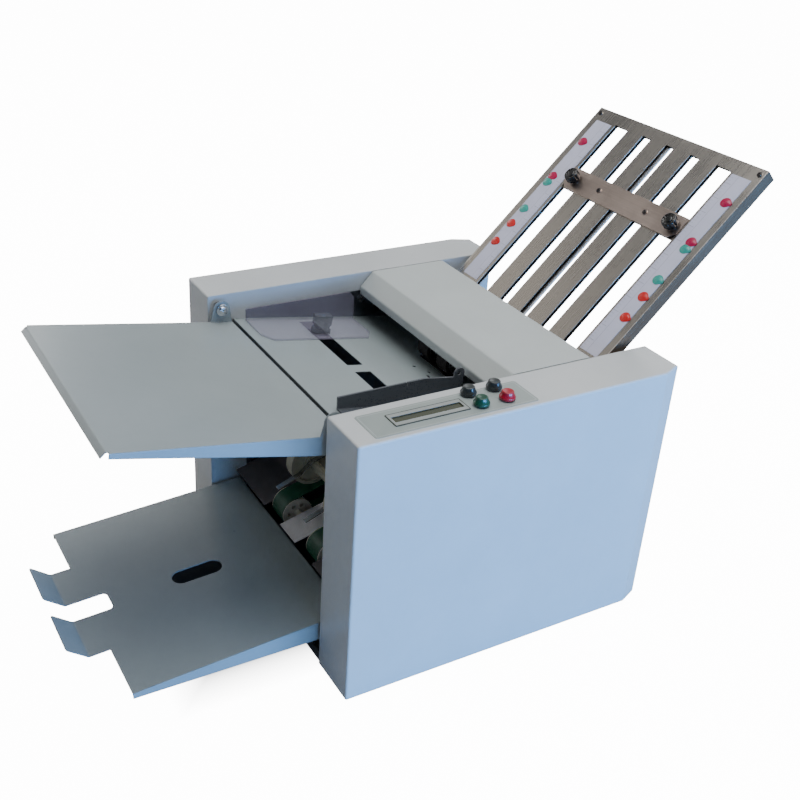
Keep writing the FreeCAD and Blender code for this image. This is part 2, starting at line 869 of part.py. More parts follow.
def make_guide(x, outline):
    """An angle of sheet: an upright on the paper's side and a flange that lies on the table."""
    t = guide_sheet
    wall = prism_x([(depth(y), height(z)) for y, z in outline], x, x + t)
    front, rear = outline[0][0], outline[1][0]
    slab = [(front, guide_surface(front)), (rear, guide_surface(rear)),
            (rear, guide_surface(rear) + t), (front, guide_surface(front) + t)]
    flange = prism_x([(depth(y), height(z)) for y, z in slab], x, x + guide_flange)
    far = x + guide_flange
    corner = guide_corner
    for edge, inward in ((front, 1), (rear, -1)):
        cut_plan = [(far - corner * 1.6, depth(edge) - inward), (far + 1, depth(edge) - inward),
                    (far + 1, depth(edge) + inward * corner)]
        flange = flange.cut(prism_z(cut_plan, height(0), cover_top))
    return wall.fuse(flange)


def right_guide_ear():
    """The round ear at the right guide's rear end, and what is cut away: its hole and a notch."""
    y, z = depth(guide_ear_depth), height(guide_ear_height)
    ear = rod_x(y, z, guide_ear_radius, right_guide_x, right_guide_x + guide_sheet)
    neck = box(right_guide_x, right_guide_x + guide_sheet, y - guide_ear_radius, y + guide_ear_radius - 1,
               z - 14, z)
    hole = rod_x(y, z, guide_ear_hole, right_guide_x - 1, right_guide_x + guide_sheet + 1)
    notch = box(right_guide_x - 1, right_guide_x + guide_sheet + 1, depth(guide_notch_depth),
                depth(guide_notch_depth) + guide_notch_width, height(guide_top_height) - guide_notch_drop,
                height(guide_top_height) + 1)
    return ear.fuse(neck), hole.fuse(notch)


def slot_middle():
    return table_slot_front + table_slot_width / 2 * math.cos(math.radians(feed_angle))


def carrier_centre(x):
    """The middle of a guide's carrier in the table's flat frame."""
    return x + carrier_offset, slot_middle() / math.cos(math.radians(feed_angle))


def make_guide_clip(x):
    """The clip on top of a guide's flange: a foot, a narrow waist and a grip."""
    middle_x, middle_v = carrier_centre(x)
    half_x, half_v = carrier_width / 2, carrier_length / 2
    low = guide_gap + guide_sheet
    clip = rounded_slot(middle_x - half_x, middle_x + half_x, middle_v - half_v, middle_v + half_v,
                        low, low + carrier_height, 3.0)
    waist_low = low + carrier_foot_height
    waist = [(waist_low - 2, 0), (waist_low + 1, carrier_waist_inset),
             (waist_low + carrier_waist_height - 1, carrier_waist_inset),
             (waist_low + carrier_waist_height + 2, 0)]
    for side in (-1, 1):
        corners = [(middle_v + side * (half_v + 1 - inset), z) for z, inset in waist]
        outer = [(middle_v + side * (half_v + 2), z) for z, inset in (waist[-1], waist[0])]
        clip = clip.cut(prism_x(corners + outer, middle_x - half_x - 1, middle_x + half_x + 1))
    return on_slope(clip, 0, feed_height, -feed_angle)


def carrier_foot(x):
    """The tongue under a guide's flange, run through the table's slot to its keeper."""
    middle_x, middle_v = carrier_centre(x)
    x0, x1 = middle_x - tongue_width / 2, middle_x + tongue_width / 2
    half_v = table_slot_width / 2 - carrier_clearance
    under = -table_sheet - guide_gap
    tongue = box(x0, x1, middle_v - half_v, middle_v + half_v, under, guide_gap + guide_sheet / 2)
    keeper = box(x0, x1, middle_v - half_v - keeper_overlap, middle_v + half_v + keeper_overlap,
                 under - keeper_thickness, under)
    return [on_slope(join([tongue, keeper]), 0, feed_height, -feed_angle)]


def make_left_guide():
    return join([make_guide(left_guide_x, left_guide_outline())] + carrier_foot(left_guide_x))


def make_right_guide():
    ear, cuts = right_guide_ear()
    guide = join([make_guide(right_guide_x, right_guide_outline()), ear] + carrier_foot(right_guide_x))
    return guide.cut(cuts)


# Hood
def hood_outline():
    return [(hood_front, hood_lip_height), (hood_front, hood_lip_top),
            (hood_bend_depth, cover_height), (hood_rear, cover_height),
            (hood_rear, cover_height - hood_rear_flange)]


def make_hood():
    skin_line = bent(hood_outline(), hood_bend)
    points = [(depth(y), height(z)) for y, z in skin_line]
    skin = prism_x(strip(points, -hood_sheet), -hood_half_width, hood_half_width)
    lug_height = hood_hinge_height - hood_pin_lug
    cheek_low = skin_line[:-1] + [(hood_rear, lug_height), (hood_hinge_depth - 10, lug_height),
                                  (hood_bend_depth + hood_cheek_step, cover_height - hood_cheek_depth)]
    cheek_points = [(depth(y), height(z)) for y, z in cheek_low]
    cheeks = [prism_x(cheek_points, hood_half_width - hood_sheet, hood_half_width),
              prism_x(cheek_points, -hood_half_width, -hood_half_width + hood_sheet)]
    hood = join([skin] + cheeks)
    for side in (-1, 1):
        x0 = min(side * (hood_half_width - 3), side * (hood_half_width + 1))
        hood = hood.cut(rod_x(depth(hood_hinge_depth), height(hood_hinge_height),
                              hood_pin_radius + pin_clearance, x0, x0 + 4))
    return hood


def make_hood_pins():
    pins = []
    for side in (-1, 1):
        y, z = depth(hood_hinge_depth), height(hood_hinge_height)
        pin = rod_x(y, z, hood_pin_radius, hood_half_width - 5, frame_out_x + 1)
        collar = rod_x(y, z, hood_pin_radius + 2, hood_half_width + 0.4, frame_x)
        pin = pin.fuse(collar).removeSplitter()
        stud_y, stud_z = depth(hood_stud_depth), height(hood_stud_height)
        stud = rod_x(stud_y, stud_z, hood_stud_radius, frame_x - 6, frame_x)
        stud = stud.fuse(rod_x(stud_y, stud_z, hood_stud_radius + 1.5, frame_x - 7.5, frame_x - 6))
        for solid in (pin, stud.removeSplitter()):
            pins.append(solid if side > 0 else mirror_x(solid))
    return Part.makeCompound(pins)


# Rollers and gears
def rotate_at(shape, centre, degrees):
    """Turns a shape about the X line through a centre."""
    turned = shape.copy()
    turned.rotate(Vector(0, depth(centre[0]), height(centre[1])), Vector(1, 0, 0), degrees)
    return turned


def make_shaft(centre, radius, x0, x1):
    return rod_x(depth(centre[0]), height(centre[1]), radius, x0, x1)


def roller_body(centre, x0):
    """A fold roller with its journals; the surface has shallow bands turned into it."""
    y, z = depth(centre[0]), height(centre[1])
    body = rod_x(y, z, roller_radius, -roller_half_length, roller_half_length)
    journal = rod_x(y, z, journal_radius, x0, frame_out_x + 3)
    roller = body.fuse(journal)
    for x in roller_grooves:
        ring = rod_x(y, z, roller_radius + 1, x - groove_width / 2, x + groove_width / 2)
        ring = ring.cut(rod_x(y, z, roller_radius - groove_depth, x - groove_width, x + groove_width))
        roller = roller.cut(ring)
    return roller


def make_roller(centre):
    return roller_body(centre, -(frame_out_x + gear_gap + gear_width + 1))


def make_driving_roller(centre):
    """A fold roller whose journal carries a small pulley in the outer belt's plane."""
    pulley = make_pulley(centre, small_pulley_radius, journal_radius - 1, outer_belt_x)
    return roller_body(centre, outer_belt_x - pulley_width / 2 - 3).fuse(pulley).removeSplitter()


def gear_outline(pitch_radius, teeth):
    """Corner points of a spur gear: straight-flanked teeth around the pitch circle."""
    module = 2 * pitch_radius / teeth
    outer = pitch_radius + 0.85 * module
    root = pitch_radius - 1.1 * module
    step = 2 * math.pi / teeth
    half_pitch = step / 4 * (1 - gear_backlash)
    half_tip = half_pitch - 0.85 * module * math.tan(math.radians(20)) / pitch_radius
    half_root = half_pitch + 0.9 * module * math.tan(math.radians(20)) / pitch_radius
    points = []
    for tooth in range(teeth):
        middle = tooth * step
        for angle, radius in ((-half_root, root), (-half_tip, outer), (half_tip, outer), (half_root, root)):
            points.append((radius * math.cos(middle + angle), radius * math.sin(middle + angle)))
    return points


def make_gear(centre, pitch_radius, teeth, start_angle):
    y, z = depth(centre[0]), height(centre[1])
    x0 = -(frame_out_x + gear_gap + gear_width)
    turn = math.radians(start_angle)
    points = []
    for py, pz in gear_outline(pitch_radius, teeth):
        points.append((y + py * math.cos(turn) - pz * math.sin(turn),
                       z + py * math.sin(turn) + pz * math.cos(turn)))
    gear = prism_x(points, x0, x0 + gear_width)
    return gear.cut(rod_x(y, z, journal_radius, x0 - 1, x0 + gear_width + 1))


def mesh_angle(driver, driven, driver_start):
    """The start angle of a driven gear whose gap faces the driver's tooth on the line of centres."""
    line = math.degrees(math.atan2(driven[1] - driver[1], driven[0] - driver[0]))
    step = 360.0 / gear_teeth
    phase = ((line - driver_start) / step) % 1.0
    return line + 180.0 + (phase - 0.5) * step


def make_bearings():
    rings = []
    for centre in shaft_centres:
        y, z = depth(centre[0]), height(centre[1])
        bore = journal_at(centre) + pin_clearance
        for side in (-1, 1):
            ring = rod_x(y, z, bearing_radius, frame_x, frame_out_x)
            flange = rod_x(y, z, bearing_flange_radius, frame_out_x, frame_out_x + bearing_flange)
            bush = ring.fuse(flange).removeSplitter()
            bush = bush.cut(rod_x(y, z, bore, frame_x - 1, frame_out_x + 4))
            rings.append(bush if side > 0 else mirror_x(bush))
    return Part.makeCompound(rings)


def make_feed_shaft():
    shaft = make_shaft(feed_shaft_centre, journal_radius, outer_belt_x - pulley_width / 2 - 3,
                       frame_out_x + 3)
    hubs = [make_pulley(feed_shaft_centre, feed_pulley_radius, journal_radius - 1, outer_belt_x)]
    for x in (-feed_tyre_pitch / 2, feed_tyre_pitch / 2):
        hub = make_shaft(feed_shaft_centre, feed_tyre_radius - 5, x - feed_tyre_width / 2,
                         x + feed_tyre_width / 2)
        hubs.append(hub)
    return join([shaft] + hubs)


def make_feed_tyres():
    tyres = []
    for x in (-feed_tyre_pitch / 2, feed_tyre_pitch / 2):
        x0, x1 = x - feed_tyre_width / 2, x + feed_tyre_width / 2
        tyre = make_shaft(feed_shaft_centre, feed_tyre_radius, x0, x1)
        tyre = tyre.cut(make_shaft(feed_shaft_centre, feed_tyre_radius - 5, x0 - 1, x1 + 1))
        tyres.append(tyre)
    return Part.makeCompound(tyres)


def make_separator():
    """The pad that lets one sheet through, on its pivoted holder in the table's window."""
    slope = math.cos(math.radians(feed_angle))
    v = feed_shaft_depth / slope
    pad = box(-pad_width / 2, pad_width / 2, v - pad_length / 2, v + pad_length / 2,
              -pad_thickness, 0)
    return on_slope(pad, 0, feed_height, -feed_angle)


def make_separator_holder():
    slope = math.cos(math.radians(feed_angle))
    v = feed_shaft_depth / slope
    reach = pad_width / 2 + 3
    plate_low = -pad_thickness - holder_plate
    bar_drop = plate_low - holder_post - holder_bar_radius
    plate = box(-reach, reach, v - pad_length / 2, v + pad_length / 2, plate_low, -pad_thickness)
    post = box(-holder_post_width / 2, holder_post_width / 2, v - holder_bar_radius,
               v + holder_bar_radius, bar_drop, plate_low)
    bar = Part.makeCylinder(holder_bar_radius, 2 * frame_x, Vector(-frame_x, v, bar_drop), Vector(1, 0, 0))
    return on_slope(join([plate, post, bar]), 0, feed_height, -feed_angle)


# Drive
def make_motor():
    y, z = depth(motor_depth), height(motor_height)
    x1 = -frame_x
    body = rod_x(y, z, motor_radius, x1, x1 + motor_length)
    x2 = x1 + motor_length
    cap = rod_x(y, z, motor_radius - motor_cap_inset, x2, x2 + motor_cap_length)
    low = foot_height + base_sheet
    foot = box(x1 + motor_foot_inset, x2 - motor_foot_inset, y - motor_radius, y + motor_radius,
               low, low + motor_foot_height)
    saddle = box(x1 + 2 * motor_foot_inset, x2 - 2 * motor_foot_inset, y - motor_saddle_half,
                 y + motor_saddle_half, low, z - motor_radius / 2)
    motor = join([body, cap, foot, saddle])
    for index in range(motor_fin_count):
        x = x1 + motor_fin_pitch * (index + 1)
        ring = rod_x(y, z, motor_radius + 1, x, x + motor_groove_width)
        ring = ring.cut(rod_x(y, z, motor_radius - motor_groove_depth, x - 1, x + motor_groove_width + 1))
        keep_low = box(x - 1, x + motor_groove_width + 1, y - 2 * motor_radius, y + 2 * motor_radius,
                       low, z - motor_radius / 2)
        motor = motor.cut(ring.cut(keep_low))
    clearance = rod_x(y, z, motor_shaft_radius + pin_clearance, x1 - 1, x1 + 30)
    return motor.cut(clearance)


def make_pulley(centre, radius, shaft_radius, middle_x):
    """A flat pulley with a rim at each side, centred on the belt's plane."""
    y, z = depth(centre[0]), height(centre[1])
    x0 = middle_x - pulley_width / 2
    wheel = rod_x(y, z, radius, x0, x0 + pulley_width)
    for x in (x0 - pulley_rim, x0 + pulley_width):
        wheel = wheel.fuse(rod_x(y, z, radius + belt_thickness + 1.5, x, x + pulley_rim))
    return wheel.removeSplitter().cut(rod_x(y, z, shaft_radius, x0 - 3, x0 + pulley_width + 3))


def make_motor_pulley():
    pulley = make_pulley(motor_centre, motor_pulley_radius, motor_shaft_radius - 1, drive_belt_x)
    shaft = make_shaft(motor_centre, motor_shaft_radius, drive_belt_x - pulley_width / 2 - 3,
                       -frame_x + 25)
    return pulley.fuse(shaft).removeSplitter()


def make_main_roller():
    return roller_body(main_roller, drive_belt_x - pulley_width / 2 - 3)


def make_main_gear():
    """The driven gear and its belt pulley, moulded as one piece with a hub between them."""
    gear = make_gear(main_roller, roller_pitch / 2, gear_teeth, 0.0)
    pulley = make_pulley(main_roller, drive_pulley_radius, journal_radius, drive_belt_x)
    hub = make_shaft(main_roller, journal_radius + 6, drive_belt_x + pulley_width / 2,
                     -(frame_out_x + gear_gap + gear_width) + 0.5)
    hub = hub.cut(make_shaft(main_roller, journal_radius, drive_belt_x, 0))
    return join([gear, pulley, hub])


def belt_loop(first, second, radius_first, radius_second, thickness, x0, x1):
    """A belt round two pulleys: two arcs joined by the outer tangents, less the same loop inside."""
    def loop(extra):
        r1, r2 = radius_first + extra, radius_second + extra
        y1, z1 = depth(first[0]), height(first[1])
        y2, z2 = depth(second[0]), height(second[1])
        span = math.hypot(y2 - y1, z2 - z1)
        line = math.atan2(z2 - z1, y2 - y1)
        lean = math.acos((r1 - r2) / span)
        corners = []
        for angle in (line + lean, line - lean):
            corners.append((Vector(x0, y1 + r1 * math.cos(angle), z1 + r1 * math.sin(angle)),
                            Vector(x0, y2 + r2 * math.cos(angle), z2 + r2 * math.sin(angle))))
        far = Vector(x0, y2 + r2 * math.cos(line), z2 + r2 * math.sin(line))
        near = Vector(x0, y1 - r1 * math.cos(line), z1 - r1 * math.sin(line))
        edges = [Part.LineSegment(corners[0][0], corners[0][1]).toShape(),
                 Part.Arc(corners[0][1], far, corners[1][1]).toShape(),
                 Part.LineSegment(corners[1][1], corners[1][0]).toShape(),
                 Part.Arc(corners[1][0], near, corners[0][0]).toShape()]
        return Part.Face(Part.Wire(edges)).extrude(Vector(x1 - x0, 0, 0))
    return loop(belt_gap + thickness).cut(loop(belt_gap))


def make_drive_belts():
    """Three belts: motor to main roller, top roller to feed shaft, low roller to delivery shaft."""
    loops = [(motor_centre, main_roller, motor_pulley_radius, drive_pulley_radius, drive_belt_x),
             (feed_shaft_centre, top_roller, feed_pulley_radius, small_pulley_radius, outer_belt_x),
             (delivery_rear_centre, low_roller, small_pulley_radius, small_pulley_radius, outer_belt_x)]
    belts = []
    for first, second, first_radius, second_radius, middle_x in loops:
        x0 = middle_x - pulley_width / 2 + 0.5
        belts.append(belt_loop(first, second, first_radius, second_radius, belt_thickness,
                               x0, x0 + pulley_width - 1))
    return Part.makeCompound(belts)


# Upper fold plate; its flat frame has its zero at the top edge and runs down to negative values
def place_on_plate(shape):
    return on_slope(shape, plate_top[0], plate_top[1], plate_angle)


def cut_plate_slots(sheet, low, high, widen):
    for x, width in zip(plate_slot_centres, plate_slot_widths):
        half = width / 2 + widen
        sheet = sheet.cut(box(x - half, x + half, -plate_slot_bottom, -plate_slot_top, low, high))
    return sheet


def plate_screw_places():
    x = plate_half_width - plate_screw_inset
    return [(side * x, y) for side in (-1, 1) for y in (-9.5, -plate_length + 60)]


def make_plate_front():
    """The upper sheet of the fold plate, with its side flanges and top flange bent back."""
    t = plate_sheet
    half = plate_half_width
    sheet = box(-half, half, -plate_length, 0, -t, 0)
    flanges = [box(half - t, half, -plate_length, 0, -plate_flange, -t / 2),
               box(-half, -half + t, -plate_length, 0, -plate_flange, -t / 2),
               box(-half, half, -t, 0, -plate_flange, -t / 2)]
    plate = join([sheet] + flanges)
    for x, y in plate_screw_places():
        plate = plate.cut(rod_z(x, y, plate_screw_radius + pin_clearance, -5, 1))
    return place_on_plate(cut_plate_slots(plate, -5, 1, 0))


def make_plate_back():
    """The lower sheet, held off the upper one by edge strips, with a fin down the middle slot."""
    t = plate_sheet
    low = -plate_sheet - plate_space
    half = plate_half_width - t - side_clearance
    sheet = box(-half, half, -plate_length, -t - side_clearance, low - t, low)
    sheet = cut_plate_slots(sheet, low - 5, low + 1, -back_slot_margin)
    inner = half - plate_edge_strip
    strips = [box(inner, half, -plate_length, -4, low - t / 2, -plate_sheet),
              box(-half, -inner, -plate_length, -4, low - t / 2, -plate_sheet)]
    for x, y in plate_screw_places():
        strips.append(rod_z(x, y, plate_screw_radius, low, 0.2))
        strips.append(rod_z(x, y, plate_screw_radius + 1.8, 0, 1.2))
    fin_x = plate_slot_centres[2] - plate_slot_widths[2] / 2 + plate_fin_inset
    fin = box(fin_x, fin_x + plate_fin_width, -plate_slot_bottom - 2, -plate_slot_top + 2,
              low - plate_fin_thickness, low)
    return place_on_plate(join([sheet] + strips + [fin]))


def make_scale_strips():
    strips = []
    for side in (-1, 1):
        x0 = min(side * scale_inner, side * (scale_inner + scale_width))
        strips.append(place_on_plate(box(x0, x0 + scale_width, -scale_bottom, -scale_top, 0,
                                         scale_thickness)))
    return Part.makeCompound(strips)


knob_places = (plate_slot_centres[0], plate_slot_centres[4])
stop_screw_places = (plate_slot_centres[1], plate_slot_centres[3])


def make_stop_bar():
    """The bar across the fold plate, with its screws down to the stop blade."""
    low = stop_gap
    bar = box(-stop_half_length, stop_half_length, -stop_centre - stop_width / 2,
              -stop_centre + stop_width / 2, low, low + stop_thickness)
    for side in (-1, 1):
        cut = box(-stop_corner, stop_corner, -stop_corner, stop_corner, low - 1, low + 5)
        cut.rotate(Vector(0, 0, 0), Vector(0, 0, 1), 45)
        cut.translate(Vector(side * (stop_half_length + 2), -stop_centre - stop_width / 2, 0))
        bar = bar.cut(cut)
    screws = []
    for x in stop_screw_places:
        shank = rod_z(x, -stop_centre, stop_screw_radius, -plate_sheet - 0.3, low + 0.5)
        head = rod_z(x, -stop_centre, stop_screw_head, low + stop_thickness - 0.2, low + stop_thickness + 1.2)
        screws += [shank, head]
    bar = join([bar] + screws)
    for x in knob_places:
        bar = bar.cut(rod_z(x, -stop_centre, knob_screw_radius + pin_clearance, -3, 5))
    return place_on_plate(bar)


def blade_levels():
    """The lower and upper face of a blade that slides between a fold plate's two sheets."""
    return -plate_sheet - plate_space + blade_clearance, -plate_sheet - blade_clearance


def make_stop_blade():
    """The blade between the two sheets that the paper's leading edge meets."""
    low, high = blade_levels()
    length = stop_half_length + blade_margin
    edge = -stop_centre - stop_width / 2
    blade = box(-length, length, edge, -stop_centre, low, high)
    tongues = []
    for x in blade_tongue_places:
        tongues.append(box(x - blade_tongue_width / 2, x + blade_tongue_width / 2,
                           edge - blade_tongue_length, edge + 1, low, high))
    posts = []
    for x in stop_screw_places:
        posts.append(rod_z(x, -stop_centre - 7, blade_post_radius, high - 0.5, stop_gap))
    for x in knob_places:
        posts.append(rod_z(x, -stop_centre - 6, blade_post_radius + 1, high - 0.5, stop_gap))
    blade = join([blade] + tongues + posts)
    for x in knob_places:
        blade = blade.cut(rod_z(x, -stop_centre, knob_screw_radius + pin_clearance, -10, 1))
    return place_on_plate(blade)


def make_knob(x, along, low, thread_low):
    """A ribbed clamp knob: a disc with eight scallops, a domed middle and its screw."""
    disc = Part.makeCylinder(knob_radius, knob_height - 4, Vector(x, along, low + 3))
    disc = disc.makeFillet(1.5, [edge for edge in disc.Edges
                                 if abs(edge.BoundBox.ZMax - low - knob_height + 1) < 0.01
                                 and edge.BoundBox.ZLength < 0.01])
    neck = Part.makeCone(knob_radius * 0.65, knob_radius * 0.75, 3, Vector(x, along, low))
    boss = Part.makeCylinder(knob_radius * 0.45, 1.5, Vector(x, along, low + knob_height - 1.5))
    for index in range(8):
        turn = 2 * math.pi * index / 8
        scallop = Part.makeCylinder(2.2, knob_height + 2,
                                    Vector(x + (knob_radius + 1.0) * math.cos(turn),
                                           along + (knob_radius + 1.0) * math.sin(turn), low + 1))
        disc = disc.cut(scallop)
    screw = rod_z(x, along, knob_screw_radius, thread_low, low + 1)
    return join([disc, neck, boss, screw])


def make_upper_knob(x):
    return place_on_plate(make_knob(x, -stop_centre, stop_gap + stop_thickness, -plate_sheet - 2.5))


def make_plate_hooks():
    """Hook plates on the frame that take the fold plate's lower end."""
    hooks = []
    foot = -plate_length + hook_start
    bite_at = -plate_length + hook_bite_at
    x0 = plate_half_width + side_clearance
    x1 = x0 + hook_thickness
    for side in (-1, 1):
        plate = box(x0, x1, foot, foot + hook_reach, -hook_depth, 4.0)
        bite = box(x0 - 1, x1 + 1, bite_at, bite_at + hook_bite, -hook_depth - 1, -hook_depth + hook_bite)
        block = box(x0, frame_x, foot + 2, foot + 2 + hook_block_length, -hook_depth + 4, 0)
        pin_high = -plate_flange - 0.3
        pin = box(x0 - 6, x0 + 1, foot + 4, foot + 4 + hook_pin_length,
                  pin_high - hook_pin_thickness, pin_high)
        hook = place_on_plate(join([plate.cut(bite), block, pin]))
        hooks.append(hook if side > 0 else mirror_x(hook))
    return Part.makeCompound(hooks)


# Lower fold plate
def place_on_lower(shape):
    return on_slope(shape, lower_plate_depth, lower_plate_height, lower_plate_angle)


def make_lower_plate():
    t = plate_sheet
    half = frame_x
    front = box(-half, half, 0, lower_plate_length, -t, 0)
    low = -t - plate_space
    back = box(-half, half, 0, lower_plate_length, low - t, low)
    for x, width in zip(plate_slot_centres, plate_slot_widths):
        cut = box(x - width / 2, x + width / 2, 25, lower_plate_length - 12, low - 5, 1)
        front = front.cut(cut)
        back = back.cut(cut)
    ends = [box(half - 8, half, 0, lower_plate_length, low - t / 2, -t / 2),
            box(-half, -half + 8, 0, lower_plate_length, low - t / 2, -t / 2)]
    return clear_of_returns(place_on_lower(join([front, back] + ends)))


def make_lower_stop():
    """The lower stop: a bar on the plate's upper face and a blade between its sheets."""
    low, high = blade_levels()
    bar = box(-stop_half_length, stop_half_length, lower_stop_at - lower_stop_width / 2,
              lower_stop_at + lower_stop_width / 2, stop_gap, stop_gap + stop_thickness)
    blade = box(-stop_half_length, stop_half_length, lower_stop_at - 3,
                lower_stop_at + lower_stop_width / 2, low, high)
    posts = []
    for x in plate_slot_centres[0::2] + plate_slot_centres[1::2]:
        posts.append(rod_z(x, lower_stop_at + 4, 4.0, high - 0.5, stop_gap + 0.5))
    stop = join([bar, blade] + posts)
    for x in knob_places:
        stop = stop.cut(rod_z(x, lower_stop_at - 4, knob_screw_radius + pin_clearance, -10, 5))
    return place_on_lower(stop)


def make_lower_knob(x):
    return place_on_lower(make_knob(x, lower_stop_at - 4, stop_gap + stop_thickness,
                                    -plate_sheet - 0.2))


# Delivery
def make_delivery_shaft(centre, left_end):
    """A shaft with its two moulded belt pulleys, each rimmed and lightened by a ring of holes."""
    pulleys = [make_shaft(centre, delivery_shaft_radius, left_end, frame_out_x + 3)]
    half = delivery_belt_width / 2 + delivery_side_gap
    for lane in (-1, 1):
        x = lane * delivery_lane_x
        core = make_shaft(centre, delivery_pulley_radius, x - half, x + half)
        for x0 in (x - half - delivery_rim, x + half):
            core = core.fuse(make_shaft(centre, delivery_rim_radius, x0, x0 + delivery_rim))
        core = core.removeSplitter()
        for index in range(pulley_hole_count):
            hole = around(centre, 360.0 * index / pulley_hole_count, pulley_hole_ring)
            core = core.cut(make_shaft(hole, pulley_hole_radius, x - 2 * half, x + 2 * half))
        pulleys.append(core)
    return join(pulleys)


def make_delivery_rear_shaft():
    shaft = make_delivery_shaft(delivery_rear_centre, outer_belt_x - pulley_width / 2 - 3)
    pulley = make_pulley(delivery_rear_centre, small_pulley_radius, delivery_shaft_radius - 1, outer_belt_x)
    return shaft.fuse(pulley).removeSplitter()


def make_delivery_belts():
    belts = []
    half = delivery_belt_width / 2
    for lane in (-1, 1):
        x = lane * delivery_lane_x
        belts.append(belt_loop(delivery_front_centre, delivery_rear_centre, delivery_pulley_radius,
                               delivery_pulley_radius, delivery_belt_thickness, x - half, x + half))
    return Part.makeCompound(belts)


def make_delivery_guides():
    """Sloping plates between and beside the belts, on two cross rails fixed to the frames."""
    rise = math.tan(math.radians(guide_plate_angle))

    def plate_height(back):
        return guide_plate_height + rise * (back - guide_plate_front)

    line = [(back, plate_height(back)) for back in (guide_plate_front, guide_plate_rear)]
    points = strip([(depth(y), height(z)) for y, z in line], -guide_plate_sheet)
    plates = [prism_x(points, -guide_plate_middle, guide_plate_middle),
              prism_x(points, guide_plate_side, frame_x),
              prism_x(points, -frame_x, -guide_plate_side)]
    rails = []
    for back in guide_rail_depths:
        up = plate_height(back) - guide_rail_drop
        rails.append(rod_x(depth(back), height(up), guide_rail_radius, -frame_x, frame_x))
    return clear_of_returns(join(plates + rails))


def make_press_wheels():
    """Two wheels on one shaft that hold the sheets down on the belts, each with a thinner web."""
    shaft = make_shaft(press_centre, journal_radius, -(frame_out_x + 3), frame_out_x + 3)
    wheels = []
    half = press_wheel_width / 2
    for lane in (-1, 1):
        x = lane * press_wheel_x
        wheel = make_shaft(press_centre, press_wheel_radius, x - half, x + half)
        for x0, x1 in ((x - half - 1, x - half + press_web_recess),
                       (x + half - press_web_recess, x + half + 1)):
            recess = make_shaft(press_centre, press_rim_radius, x0, x1)
            wheel = wheel.cut(recess.cut(make_shaft(press_centre, press_hub_radius, x0 - 1, x1 + 1)))
        wheels.append(wheel)
    return join([shaft] + wheels)


def make_spring_fingers():
    """Flat spring fingers beside the wheels, bent over their shaft from a rail between the frames."""
    rail_centre = (finger_rail_depth, finger_rail_height)
    rail = make_shaft(rail_centre, finger_rail_radius, -frame_x, frame_x)
    tip = (finger_tip_depth, finger_tip_height)
    knee = around(tip, finger_rise, finger_flat)
    over = around(press_centre, delivery_slope + finger_over_angle, journal_radius + finger_over_gap)
    line = [rail_centre, over, knee, tip]
    points = strip([(depth(y), height(z)) for y, z in line], finger_sheet)
    fingers = [rail]
    for side in (-1, 1):
        x = side * finger_x
        fingers.append(prism_x(points, x - finger_width / 2, x + finger_width / 2))
    return join(fingers)


# Delivery tray
def make_delivery_tray():
    sheet = catch_sheet
    half = catch_half_width
    inner = catch_inner
    outer = -catch_reach
    plate = box(-half, half, outer, inner, -sheet, 0)
    flange = [(outer, -sheet / 2), (inner, -sheet / 2), (inner, -catch_inner_flange),
              (outer, -catch_outer_flange)]
    parts = [plate, prism_x(flange, half - sheet, half), prism_x(flange, -half, -half + sheet)]
    turn = math.radians(finger_tip_angle)
    bend = outer - finger_reach
    tip = (bend - finger_tip_length * math.cos(turn), finger_tip_length * math.sin(turn))
    finger = prism_x(strip(bent([(outer + 2, 0), (bend, 0), tip], finger_bend), sheet),
                     finger_inner, finger_outer)
    tip_corners = [edge for edge in finger.Edges
                   if abs(edge.Length - sheet) < 0.01 and edge.BoundBox.ZMax > tip[1] - sheet]
    finger = finger.makeFillet(finger_corner_radius, tip_corners)
    parts += [finger, mirror_x(finger)]
    rolled = prism_x([(inner, 0), (inner, -10), (inner - sheet, -10), (inner - sheet, -sheet / 2)],
                     -half, half)
    tray = join(parts + [rolled])
    notch = rounded_slot(-finger_inner, finger_inner, outer - finger_notch_depth, outer + finger_notch_depth,
                         -5, 5, finger_notch_radius)
    tray = tray.cut(notch)
    slot_y = -hand_slot_front
    slot = rounded_slot(3 - hand_slot_width / 2, 3 + hand_slot_width / 2, slot_y,
                        slot_y + hand_slot_length, -5, 5, hand_slot_width / 2 - 0.01)
    tray = tray.cut(slot)
    placed = on_slope(tray, 0, catch_height, catch_angle)
    bar = rod_x(depth(catch_bar_depth), height(catch_bar_height), tie_bar_radius + 0.2, -half - 1, half + 1)
    drop = box(-half - 1, half + 1, depth(catch_bar_depth) - tie_bar_radius - 0.2,
               depth(catch_bar_depth) + tie_bar_radius + 0.2, height(0), height(catch_bar_height))
    return placed.cut(bar).cut(drop)


# Mains inlet and switch in the rear panel
def panel_face():
    return rear_y - cover_sheet - side_clearance


def power_place():
    """The module's body: from its inlet's outer side to its switch's outer side."""
    z0 = height(inlet_lift)
    return inlet_x - inlet_width / 2, rocker_x + rocker_width / 2 + 3, z0, z0 + inlet_height


